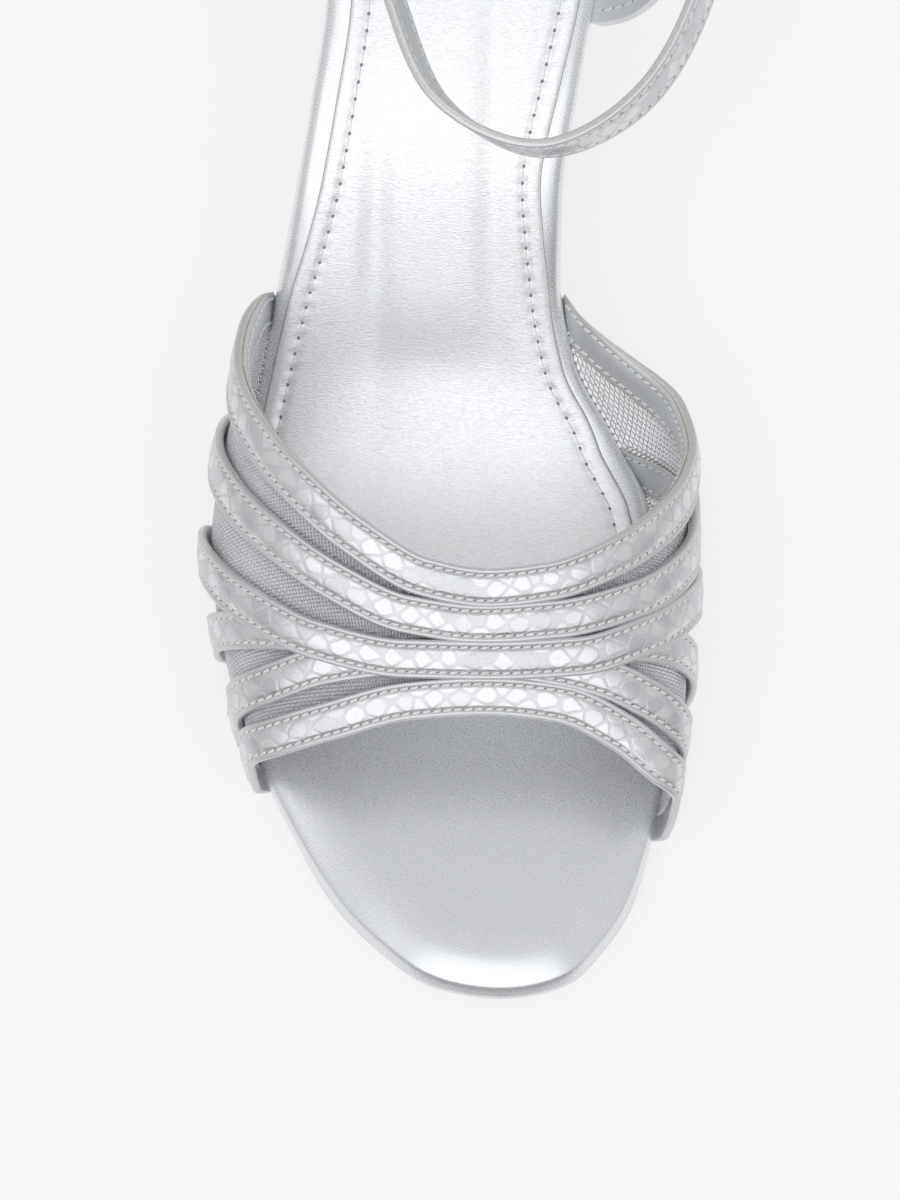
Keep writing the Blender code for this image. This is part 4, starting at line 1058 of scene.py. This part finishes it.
def threads(name, points, normals, ahead, keep, width, material):
    """Wavy threads along the rows of a grid where it is kept, as thin closed tubes of three sides."""
    rows, count = keep.shape
    side = unit(np.cross(normals, ahead))
    wave = np.where((np.arange(rows)[:, None] + np.arange(count)) % 2, 1.0, -1.0)[..., None] * WEAVE_WAVE
    middle = points + normals * (WEAVE_MIDDLE + wave)
    corners = np.stack(
        [middle - side * width / 2, middle + side * width / 2, middle + normals * WEAVE_CROWN], 2
    )
    index = np.arange(rows * count * 3).reshape(rows, count, 3)
    both = keep[:, :-1] & keep[:, 1:]
    near, far = index[:, :-1][both], index[:, 1:][both]
    faces = []
    for i in range(3):
        j = (i + 1) % 3
        faces.append(np.stack([near[:, i], near[:, j], far[:, j], far[:, i]], -1))
    joined_before = np.pad(both, ((0, 0), (1, 0)))
    joined_after = np.pad(both, ((0, 0), (0, 1)))
    first = index[joined_after & ~joined_before]
    final = index[joined_before & ~joined_after]
    used = np.zeros(rows * count * 3, bool)
    for face in faces:
        used[face] = True
    fresh = np.cumsum(used) - 1
    shown = [fresh[np.concatenate(faces)].tolist(), fresh[first[:, ::-1]].tolist(), fresh[final].tolist()]
    piece = build(name, corners.reshape(-1, 3)[used], sum(shown, []), [material], turn=False)
    return dress(piece, "mesh", "vamp_mesh")


def make_vamp_mesh(look):
    """Plain weave on the last, from the middle of the toe strap to the middle of the collar strap."""
    share = np.linspace(0, 1, WEAVE_SHARES)
    front, rear = (flow(*ROUTES[name].values(), share) for name in ("toe", "collar"))
    back = np.arange(front.min(), rear.max(), WEAVE_PITCH)
    backs, shares = np.meshgrid(back, share, indexing="ij")
    keep = (backs >= front) & (backs <= rear)
    normals = last_normals(backs, shares)
    edge = np.clip(1 - np.minimum(shares, 1 - shares) / WEAVE_SEAT_SHARE, 0, 1)
    points = last_points(backs, shares) - normals * (WEAVE_SEAT * edge * edge)[..., None]
    by_back, by_share = last_slopes(backs, shares)
    threads("mesh_weft", points, normals, unit(by_share), keep, WEFT_WIDTH, look["weft_silver"])
    # The warp yarns' grey is partly painted shade within the weave
    turned = [a.swapaxes(0, 1) for a in (points, normals, unit(by_back), keep)]
    threads("mesh_warp", *turned, WARP_WIDTH, look["warp_grey_and_shade"])


def closed_spline(rows, steps):
    """Smooth closed line through rows of values, with the distance of its points along it."""
    rows = np.array(rows, float)
    before, ahead, beyond = np.roll(rows, 1, axis=0), np.roll(rows, -1, axis=0), np.roll(rows, -2, axis=0)
    t = (np.arange(steps) / steps)[:, None]
    pieces = []
    for a, b, c, d in zip(before, rows, ahead, beyond):
        pull = (c - a) * t + (2 * a - 5 * b + 4 * c - d) * t**2 + (3 * b - a - 3 * c + d) * t**3
        pieces.append(b + pull / 2)
    line = np.concatenate(pieces + [rows[:1]])
    return line, run_of(line[:, :3])


ANKLE_LINE, ANKLE_RUN = closed_spline(list(ANKLE_ROWS.values()), SPLINE_STEPS)
ANKLE_GIRTH = ANKLE_RUN[-1]


def ankle_run(name):
    """Distance of a named row from the hinge bar along the ankle strap."""
    return ANKLE_RUN[SPLINE_STEPS * list(ANKLE_ROWS).index(name)]


def ankle_frames(run):
    """Centre, direction, outward normal and upward side of the ankle strap."""
    places = (run, run + TANGENT_REACH, run - TANGENT_REACH)
    here, ahead, behind = (sample(np.mod(at, ANKLE_GIRTH), ANKLE_RUN, ANKLE_LINE) for at in places)
    centre, lean = here[:, :3], np.radians(here[:, 3:])
    along = unit((ahead - behind)[:, :3])
    level = unit(np.cross((0.0, 0.0, 1.0), along))
    upright = np.cross(along, level)
    outward = level * np.cos(lean) + upright * np.sin(lean)
    return centre, along, outward, np.cross(along, outward)


def ankle_frame(at):
    """Centre, direction, outward normal and upward side of the ankle strap at one place."""
    return [part[0] for part in ankle_frames(np.array([at]))]


def ankle_lift(run):
    """Outward shift of the tongue, which passes under the far bar and over the hinge bar."""
    start = ANKLE_GIRTH - FRAME_LENGTH
    t = np.clip((run - start) / (FRAME_LENGTH - WIRE_RADIUS - GAP), 0, 1)
    return TONGUE_LIFT * t


def ankle_columns(across_list, layer_list):
    """Lines along the ankle strap at given places of its section, and their distance from the buckle."""
    start = WIRE_RADIUS + GAP
    stop = ANKLE_GIRTH + TONGUE_LENGTH
    run = np.linspace(start, stop, round((stop - start) / ANKLE_STEP))
    tip = stop - TONGUE_TAPER * np.linspace(1, 0, TONGUE_STATIONS) ** 2
    run = np.concatenate([run[run < stop - TONGUE_TAPER], tip])
    centre, _, outward, upward = ankle_frames(run)
    centre = centre + outward * ankle_lift(run)[:, None]
    taper = np.clip((stop - run) / TONGUE_TAPER, 0, 1)
    width = ANKLE_WIDTH / 2 * (TONGUE_TIP + (1 - TONGUE_TIP) * np.sqrt(1 - (1 - taper) ** 2))
    columns = []
    for across, layer in zip(across_list, layer_list):
        shift = upward * (across * width)[:, None] + outward * ((layer - 0.5) * ANKLE_THICKNESS)
        columns.append(centre + shift)
    return np.stack(columns, 1), run


def make_ankle_strap(look):
    """Slack strap round the ankle with a raw edge line, stitches on both faces and the prong's slot."""
    across, layer = full_section(ANKLE_HALF)
    strip = (layer + np.roll(layer, -1)) / 2
    pick = np.where(strip < ANKLE_RAW_LAYERS[0], 1, 0)
    pick[(strip > ANKLE_RAW_LAYERS[0]) & (strip < ANKLE_RAW_LAYERS[1])] = 2
    grid, run = ankle_columns(across, layer)
    finishes = [look["strap_foil"], look["lining_foil"], look["cream_edge"]]
    strap = loft("ankle_band", grid, finishes, flat_map(run[:, None], across * ANKLE_WIDTH / 2), pick)
    cut_slot(strap, look["needle_hole_shade"])
    dress(strap, "straps", "ankle_strap")
    lines = []
    for level, way in ANKLE_STITCH_LAYERS:
        for side in (-1, 1):
            place = [side * STRAP_STITCH_ACROSS]
            line = ankle_columns(place, [level])[0][:, 0]
            over = ankle_columns(place, [level + way])[0][:, 0]
            lines.append((line, unit(over - line)))
    sew_rows("ankle", lines, ANKLE_STITCH, look, "straps")


def buckle_frame_axes():
    """Hinge bar's centre, direction towards the far bar, outward normal and upward side of the buckle."""
    centre, _, _, upward = ankle_frame(0.0)
    lift = ANKLE_THICKNESS / 2 + 2 * GAP + WIRE_RADIUS
    far_centre, _, far_outward, _ = ankle_frame(ANKLE_GIRTH - FRAME_LENGTH)
    reach = unit(far_centre + far_outward * lift - centre)
    side = unit(upward - reach * (upward @ reach))
    return centre, reach, np.cross(reach, side), side


def rounded_box(low, high, radius, steps):
    """Points round a box that is grown by a radius, with round corners."""
    points = []
    corners = ((high[0], high[1]), (low[0], high[1]), (low[0], low[1]), (high[0], low[1]))
    for (x, y), first in zip(corners, (0, 90, 180, 270)):
        for angle in np.radians(first + np.linspace(0, 90, steps)):
            points.append((x + radius * math.cos(angle), y + radius * math.sin(angle)))
    return np.array(points)


def cut_slot(strap, material):
    """Cuts the tongue's slot, through which the prong passes."""
    centre, reach, outward, side = buckle_frame_axes()
    middle = centre + reach * SLOT_BACK
    rings = []
    for layer in SLOT_LAYERS:
        turn = circle(SLOT_SIDES)[:, None]
        long = (SLOT_LENGTH - SLOT_WIDTH) / 2 * np.sign(np.round(np.cos(turn), SLOT_DIGITS))
        wide = SLOT_WIDTH / 2
        rings.append(
            middle + outward * layer + reach * (long + wide * np.cos(turn)) + side * (wide * np.sin(turn))
        )
    cutter = loft("slot_cutter", np.array(rings), [material])
    step = strap.modifiers.new("slot", "BOOLEAN")
    step.operation = "DIFFERENCE"
    step.solver = "EXACT"
    step.object = cutter
    shown = strap.evaluated_get(bpy.context.evaluated_depsgraph_get())
    mesh = bpy.data.meshes.new_from_object(shown)
    strap.modifiers.clear()
    strap.data = mesh
    bpy.data.objects.remove(cutter, do_unlink=True)


def make_buckle(look):
    """Wire frame with round corners, and its prong."""
    centre, reach, outward, side = buckle_frame_axes()
    half = FRAME_WIDTH / 2 - FRAME_CORNER
    low, high = (FRAME_CORNER, -half), (FRAME_LENGTH - FRAME_CORNER, half)
    path = rounded_box(low, high, FRAME_CORNER, FRAME_CORNER_STEPS)
    tangent = unit(np.roll(path, -1, axis=0) - np.roll(path, 1, axis=0))
    turn = circle(WIRE_SIDES)[:, None]
    rings = []
    for (x, y), (tx, ty) in zip(path, tangent):
        offset = (reach * ty - side * tx) * np.cos(turn) + outward * np.sin(turn)
        rings.append(centre + reach * x + side * y + offset * WIRE_RADIUS)
    dress(hoop("buckle_wire", rings, look["polished_wire"]), "buckle", "buckle_frame")
    low = centre + reach * (WIRE_RADIUS + GAP + PRONG_RADIUS) - outward * PRONG_DROP
    high = centre + reach * FRAME_LENGTH + outward * (WIRE_RADIUS + PRONG_LIFT + PRONG_RADIUS)
    ahead = unit(high - low)
    up = unit(outward - ahead * (outward @ ahead))
    length = np.linalg.norm(high - low) + PRONG_OVERHANG
    rings = []
    for run, radius in zip(*PRONG_RINGS.values()):
        ring = (side * np.cos(turn) + up * np.sin(turn)) * PRONG_RADIUS * radius
        rings.append(low + ahead * length * run + ring)
    dress(loft("buckle_pin", np.array(rings), [look["polished_wire"]]), "buckle", "buckle_prong")


def make_keeper(look):
    """Leather loop that holds the tongue on the strap behind the buckle."""
    half = ANKLE_WIDTH / 2 + GAP - KEEPER_INNER_ROUND
    under = -ANKLE_THICKNESS / 2 - GAP + KEEPER_INNER_ROUND
    over = TONGUE_LIFT + ANKLE_THICKNESS / 2 + GAP - KEEPER_INNER_ROUND
    full = KEEPER_INNER_ROUND + KEEPER_WALL
    start, stop = KEEPER_AT - KEEPER_LENGTH / 2, KEEPER_AT + KEEPER_LENGTH / 2
    rows = (
        (start, KEEPER_INNER_ROUND), (start, full - KEEPER_ROUND), (start + KEEPER_ROUND, full),
        (stop - KEEPER_ROUND, full), (stop, full - KEEPER_ROUND), (stop, KEEPER_INNER_ROUND),
    )
    rings = []
    for at, radius in rows:
        centre, _, outward, upward = ankle_frame(at)
        a, b = rounded_box((-half, under), (half, over), radius, KEEPER_CORNER_STEPS).T[..., None]
        rings.append(centre + upward * a + outward * b)
    dress(hoop("keeper_loop", rings, look["plain_foil"]), "straps", "strap_keeper")


def heel_edge(count):
    """Outline round the heel seat from the lateral wing to the medial wing, with its outward direction."""
    outward = FINE_LOOP - inset_loop(FINE_LOOP, 1.0)
    lateral = [i for i in FINE_LEFT if FINE_LOOP[i, 0] >= COUNTER_LATERAL]
    medial = [i for i in FINE_RIGHT[::-1] if FINE_LOOP[i, 0] >= COUNTER_MEDIAL]
    order = lateral + [i for i in medial if i not in lateral]
    edge, away = FINE_LOOP[order], outward[order]
    run = run_of(edge)
    at = np.linspace(0, run[-1], count)
    along, across = sample(at, run, edge).T
    return along, across, unit(sample(at, run, away)[:, ::-1])


def counter_walls():
    """Outer and inner face of the counter as grids of columns and rows, and the outer face's normals."""
    along, across, away = heel_edge(COUNTER_COLUMNS)
    share = np.linspace(0, 1, COUNTER_COLUMNS)
    level = np.column_stack([away, np.zeros(COUNTER_COLUMNS)])
    foot = bed_points(along, across, COUNTER_FOOT) + level * (LAST_REST + COUNTER_WALL)
    run = np.linspace(ankle_run("lateral_wing"), ankle_run("medial_wing"), COUNTER_COLUMNS)
    centre, _, outward, upward = ankle_frames(run)
    seat = centre - outward * (ANKLE_THICKNESS / 2 + GAP)
    brim = seat - upward * COUNTER_MARGIN
    flare = {name: flow(COUNTER_FLARE["share"], COUNTER_FLARE[name], share) for name in COUNTER_FLARE}
    leave = level * flare["outward"][:, None] + np.outer(flare["rise"], (0.0, 0.0, 1.0))
    arrive = upward * COUNTER_TOP_PULL
    rows = []
    for t in np.linspace(0, 1, COUNTER_ROWS):
        start = (1 + 2 * t) * (1 - t) ** 2 * foot + t * (1 - t) ** 2 * leave
        end = t * t * (3 - 2 * t) * brim - t * t * (1 - t) * arrive
        rows.append(start + end)
    for t in np.linspace(0, 2, COUNTER_BRIM_ROWS + 1)[1:]:
        rows.append(brim + upward * COUNTER_MARGIN * t)
    outer = np.stack(rows, 1)
    normal = unit(np.cross(np.gradient(outer, axis=1), np.gradient(outer, axis=0)))
    turned = COUNTER_TURN_IN * np.clip(1 - np.arange(len(rows)) / COUNTER_TURN_ROWS, 0, 1)
    return outer, outer - normal * COUNTER_WALL - level[:, None] * turned[:, None], normal


def make_heel_counter(look):
    """Back quarter with a lining, raw edges and a stitched border."""
    outer, inner, normal = counter_walls()
    height = outer.shape[1]
    rings = np.concatenate([outer, inner[:, ::-1]], 1)
    faces = ring_faces(COUNTER_COLUMNS, 2 * height)
    strip = np.zeros(2 * height, int)
    strip[height:] = 1
    strip[[height - 1, 2 * height - 1]] = 2
    pick = np.tile(strip, COUNTER_COLUMNS - 1).tolist()
    for start in (0, (COUNTER_COLUMNS - 1) * 2 * height):
        for i in range(height - 1):
            far = 2 * height - 1 - i
            faces.append([start + i, start + i + 1, start + far - 1, start + far])
            pick.append(0)
    tall = run_of(outer[COUNTER_COLUMNS // 2])
    uv = flat_map(run_of(outer[:, height // 2])[:, None], np.concatenate([tall, tall[::-1]]))
    finishes = [look["plain_foil"], look["lining_foil"], look["cream_edge"]]
    counter = build("counter_quarter", rings.reshape(-1, 3), faces, finishes, uv, pick)
    dress(counter, "counter", "heel_counter")
    lines = []
    for wall, way in ((outer, 1.0), (inner, -1.0)):
        edges = ((wall[0], wall[1], normal[0]), (wall[-1], wall[-2], normal[-1]))
        for edge, near, up in (*edges, (wall[:, -1], wall[:, -2], normal[:, -1])):
            lines.append((edge + unit(near - edge) * COUNTER_STITCH_INSET, up * way))
    sew_rows("counter", lines, ANKLE_STITCH, look, "counter")


def heel_outline():
    """Heel seat outline as a loop."""
    turn = np.linspace(0, math.pi / 2, HEEL_STATIONS)
    stations = HEEL_START + (HEEL_END - HEEL_START) * np.sin(turn)
    return outline_loop((stations, *inner_sides(inset_loop(FINE_LOOP, HEEL_INSET), stations)))


def top_piece_ring(loop, inset, height):
    """The heel's outline shrunk to the top piece at a height over the floor."""
    along, across = loop.T
    reach = (along - along.min()) / (along.max() - along.min())
    spread = (across - (across.max() + across.min()) / 2) / (across.max() - across.min())
    x = TOP_PIECE_CENTRE + spread * (TOP_PIECE_WIDTH - 2 * inset)
    y = TOP_PIECE_FRONT + inset + reach * (TOP_PIECE_LENGTH - 2 * inset)
    return np.column_stack([x, y, np.full(len(loop), height)])


def make_heel(look):
    """Covered heel that narrows from the heel seat, and the wearing piece under it."""
    loop, left, right = heel_outline()
    along, across = loop.T
    top = bed_points(along, across, INSOLE_THICKNESS + GAP)
    bottom = top_piece_ring(loop, 0.0, TOP_PIECE_HEIGHT + GAP)
    rings = []
    for level in np.linspace(0, 1, HEEL_LEVELS):
        ring = top + (bottom - top) * (1 - (1 - level) ** HEEL_CURVE)
        ring[:, 2] = top[:, 2] + (bottom[:, 2] - top[:, 2]) * level
        rings.append(ring)
    dress(stack("heel_cover", rings, left, right, [look["plain_foil"]]), "heel", "heel")
    rings = [top_piece_ring(loop, inset, height) for inset, height in TOP_PIECE_LEVELS]
    piece = stack("top_piece_rubber", rings, left, right, [look["top_piece_rubber"]])
    dress(piece, "top_piece", "heel_top_piece")


def paint(name, colour, roughness, metallic=0.0):
    """Principled material, its node tree and its shader."""
    material = bpy.data.materials.new(name)
    material.use_nodes = True
    tree = material.node_tree
    shader = tree.nodes["Principled BSDF"]
    shader.inputs["Base Color"].default_value = (*colour, 1.0)
    shader.inputs["Roughness"].default_value = roughness
    shader.inputs["Metallic"].default_value = metallic
    material.diffuse_color = (*colour, 1.0)
    return material, tree, shader


def add(tree, kind, inputs, **settings):
    """Node with its settings; each input is a value or another node's socket."""
    node = tree.nodes.new("ShaderNode" + kind)
    for key, value in settings.items():
        setattr(node, key, value)
    for key, value in inputs.items():
        if isinstance(value, bpy.types.NodeSocket):
            tree.links.new(value, node.inputs[key])
        else:
            node.inputs[key].default_value = value
    return node


def calc(tree, operation, a, b=0.0):
    """Result of a sum on two values or sockets."""
    return add(tree, "Math", {0: a, 1: b}, operation=operation).outputs[0]


def ramp(tree, value, low, high, start=0.0, stop=1.0):
    """Smooth step of a value from start at low to stop at high."""
    inputs = {"Value": value, "From Min": low, "From Max": high, "To Min": start, "To Max": stop}
    return add(tree, "MapRange", inputs, interpolation_type="SMOOTHSTEP").outputs["Result"]


def blend_colour(tree, share, first, second, **settings):
    """Colour between two colours or colour sockets, by a share."""
    inputs = {0: share}
    for key, colour in zip(MIX_COLOURS, (first, second)):
        inputs[key] = colour if isinstance(colour, bpy.types.NodeSocket) else (*colour, 1.0)
    return add(tree, "Mix", inputs, data_type="RGBA", **settings).outputs[MIX_RESULT]


def flat_parts(tree, along, across):
    """Both parts of the place on a piece's flat map, in repeats of a pattern of that size in millimetres."""
    source = add(tree, "UVMap", {}, uv_map="flat").outputs["UV"]
    part = add(tree, "SeparateXYZ", {0: source})
    return calc(tree, "DIVIDE", part.outputs[0], along), calc(tree, "DIVIDE", part.outputs[1], across)


def flat_place(tree, along, across):
    """Place on a piece's flat map, in repeats of a pattern of that size in millimetres."""
    x, y = flat_parts(tree, along, across)
    return add(tree, "CombineXYZ", {0: x, 1: y}).outputs[0]


def noise(tree, place, scale, detail=2.0, distortion=0.0):
    """Noise between 0 and 1 at a place, or in object space where none is given."""
    if place is None:
        place = add(tree, "TexCoord", {}).outputs["Object"]
    inputs = {"Vector": place, "Scale": scale, "Detail": detail, "Distortion": distortion}
    return add(tree, "TexNoise", inputs).outputs["Fac"]


def emboss(tree, shader, layers):
    """Bumps of the shader's surface from (height, depth in millimetres, strength) layers."""
    normal = None
    for height, depth, strength in layers:
        inputs = {"Height": height, "Distance": depth * MM, "Strength": strength}
        if normal is not None:
            inputs["Normal"] = normal
        normal = add(tree, "Bump", inputs).outputs["Normal"]
    tree.links.new(normal, shader.inputs["Normal"])


def strap_foil():
    """Satin silver leather with a common reptile print of glossy scales between the stitch rows."""
    dull, dim, bright = STRAP_TONES
    material, tree, shader = paint("strap_foil", dull, STRAP_ROUGHNESS, STRAP_METAL)
    along, across = flat_parts(tree, *SCALE_SIZE)
    lattice = {0: calc(tree, "ADD", along, across), 1: calc(tree, "SUBTRACT", along, across)}
    place = add(tree, "CombineXYZ", lattice).outputs[0]
    look = {"Vector": place, "Scale": 1.0, "Randomness": SCALE_SHUFFLE}
    cells = add(tree, "TexVoronoi", look, voronoi_dimensions="2D", feature="F1")
    edges = add(tree, "TexVoronoi", look, voronoi_dimensions="2D", feature="DISTANCE_TO_EDGE")
    tone = add(tree, "SeparateColor", {0: cells.outputs["Color"]}).outputs[0]
    core = ramp(tree, cells.outputs["Distance"], *SCALE_CORE)
    patch = calc(tree, "MULTIPLY", core, ramp(tree, edges.outputs["Distance"], *SCALE_SPLIT))
    within = ramp(tree, calc(tree, "ABSOLUTE", across), SCALE_BAND[1], SCALE_BAND[0])
    scale = calc(tree, "MULTIPLY", patch, within)
    grain = noise(tree, None, *STRAP_GRAIN)
    cloud = noise(tree, None, STRAP_CLOUD)
    glaze = blend_colour(tree, ramp(tree, tone, *SCALE_GLAZE), dim, bright)
    shade = blend_colour(tree, scale, dull, glaze)
    speck = blend_colour(tree, ramp(tree, grain, *STRAP_SPECKS), (STRAP_SPECK_TONE,) * 3, (1.0,) * 3)
    tinted = blend_colour(tree, 1.0, shade, speck, blend_type="MULTIPLY")
    tree.links.new(tinted, shader.inputs["Base Color"])
    gloss = ramp(tree, scale, 0.0, 1.0, *STRAP_GLOSS)
    rough = calc(tree, "ADD", calc(tree, "MULTIPLY", grain, STRAP_GLOSS_PLAY), gloss)
    tree.links.new(rough, shader.inputs["Roughness"])
    heights = (scale, grain, cloud)
    emboss(tree, shader, [(height, *bump) for height, bump in zip(heights, STRAP_BUMPS)])
    return material


def grainy(name, colour, roughness, metallic, grain):
    """Material with a fine grain in its tone, its gloss and its surface."""
    material, tree, shader = paint(name, colour, roughness, metallic)
    shader.inputs["Sheen Weight"].default_value = grain.get("sheen", 0.0)
    fine = noise(tree, None, grain["size"], grain["detail"])
    dark, light = (tuple(min(1.0, c * tone) for c in colour) for tone in grain["tones"])
    shade = blend_colour(tree, ramp(tree, fine, *grain["span"]), dark, light)
    tree.links.new(shade, shader.inputs["Base Color"])
    if "play" in grain:
        gloss = ramp(tree, fine, *GLOSS_SPAN, roughness - grain["play"], roughness + grain["play"])
        tree.links.new(gloss, shader.inputs["Roughness"])
    layers = [(fine, *grain["bump"])]
    if "cloud" in grain:
        size, *bump = grain["cloud"]
        layers.append((noise(tree, None, size), *bump))
    emboss(tree, shader, layers)
    return material


def sock_foil():
    """Bright satin leather with a fine wavy grain across the foot."""
    material, tree, shader = paint("sock_foil", SOCK_COLOUR, SOCK_ROUGHNESS, SOCK_METAL)
    wavy = noise(tree, flat_place(tree, *SOCK_WAVE), 1.0, distortion=SOCK_WAVE_BEND)
    fine = noise(tree, None, SOCK_FINE)
    shade = tuple(c * SOCK_WAVE_TONE for c in SOCK_COLOUR)
    tone = blend_colour(tree, ramp(tree, wavy, *SOCK_WAVE_SPAN), shade, SOCK_COLOUR)
    tree.links.new(tone, shader.inputs["Base Color"])
    tree.links.new(ramp(tree, fine, *GLOSS_SPAN, *SOCK_GLOSS), shader.inputs["Roughness"])
    emboss(tree, shader, [(wavy, *SOCK_WAVE_BUMP), (fine, *SOCK_FINE_BUMP)])
    return material


def polished_wire():
    """Polished silver metal with faint scratches."""
    material, tree, shader = paint("polished_wire", WIRE_COLOUR, WIRE_ROUGHNESS, 1.0)
    scratch = noise(tree, None, *WIRE_SCRATCH)
    tree.links.new(ramp(tree, scratch, *WIRE_SPAN, *WIRE_GLOSS), shader.inputs["Roughness"])
    emboss(tree, shader, [(scratch, *WIRE_BUMP)])
    return material


def make_floor():
    """Pale lit floor."""
    material, tree, shader = paint("floor_paper", (FLOOR_TONE,) * 3, FLOOR_ROUGHNESS)
    shader.inputs["Emission Color"].default_value = (1.0, 1.0, 1.0, 1.0)
    shader.inputs["Emission Strength"].default_value = FLOOR_GLOW
    speck = noise(tree, None, FLOOR_SPECK)
    tree.links.new(ramp(tree, speck, *GLOSS_SPAN, *FLOOR_GLOSS), shader.inputs["Roughness"])
    bpy.ops.mesh.primitive_plane_add(size=FLOOR_SIZE * MM, location=(0, 0, -FLOOR_DROP * MM))
    floor = bpy.context.object
    floor.name = "floor"
    floor.data.materials.append(material)
    floor.visible_glossy = False


def make_surround():
    """Soft light all round: dim low in front of the toe, brightest high above it."""
    world = bpy.data.worlds.new("surround")
    bpy.context.scene.world = world
    world.use_nodes = True
    tree = world.node_tree
    background = tree.nodes["Background"]
    background.inputs["Color"].default_value = (*SURROUND_COLOUR, 1.0)
    way = add(tree, "TexCoord", {}).outputs["Generated"]
    _, back, height = add(tree, "SeparateXYZ", {0: way}).outputs
    above = ramp(tree, height, 0.0, SKY_REACH, HORIZON_LIGHT, SKY_LIGHT)
    below = ramp(tree, height, 0.0, GROUND_REACH, 0.0, GROUND_LIGHT - HORIZON_LIGHT)
    left, down = (math.radians(angle) for angle in KEY_ANGLES)
    key = (-math.sin(left) * math.sin(down), -math.cos(left) * math.sin(down), math.cos(down))
    toward = add(tree, "VectorMath", {0: way, 1: key}, operation="DOT_PRODUCT").outputs["Value"]
    low = ramp(tree, calc(tree, "ABSOLUTE", height), *FRONT_HEIGHTS)
    front = calc(tree, "MULTIPLY", low, ramp(tree, back, *FRONT_REACH, 0.0, FRONT_DIM))
    surround = calc(tree, "SUBTRACT", calc(tree, "ADD", above, below), front)
    glow = calc(tree, "ADD", surround, ramp(tree, toward, *KEY_EDGES, 0.0, KEY_LIGHT))
    tree.links.new(glow, background.inputs["Strength"])


def photo_camera():
    """Camera at the photograph's angle and scale."""
    data = bpy.data.cameras.new("photo_camera")
    camera = bpy.data.objects.new("photo_camera", data)
    bpy.context.collection.objects.link(camera)
    elevation = math.radians(CAMERA_ELEVATION)
    across, back, height = CAMERA_TARGET
    target = np.array([across, back - TREAD_BACK, height]) * MM
    away = np.array([0.0, -math.cos(elevation), math.sin(elevation)])
    camera.location = target + away * CAMERA_DISTANCE * MM
    camera.rotation_euler = (math.pi / 2 - elevation, 0.0, 0.0)
    data.sensor_width = SENSOR
    data.lens = SENSOR * PHOTO_SCALE * CAMERA_DISTANCE / max(PHOTO_WIDTH, PHOTO_HEIGHT)
    bpy.context.scene.camera = camera


def main():
    """Makes the camera, the studio and every piece of the shoe."""
    photo_camera()
    make_floor()
    make_surround()
    look = {name: grainy(name, *finish) for name, finish in FINISHES.items()}
    look.update(strap_foil=strap_foil(), sock_foil=sock_foil(), polished_wire=polished_wire())
    make_insole(look)
    make_outsole(look)
    make_sock(look)
    make_vamp_straps(look)
    make_vamp_mesh(look)
    make_ankle_strap(look)
    make_buckle(look)
    make_keeper(look)
    make_heel_counter(look)
    make_heel(look)
    bpy.context.scene.view_settings.view_transform = "Standard"


main()
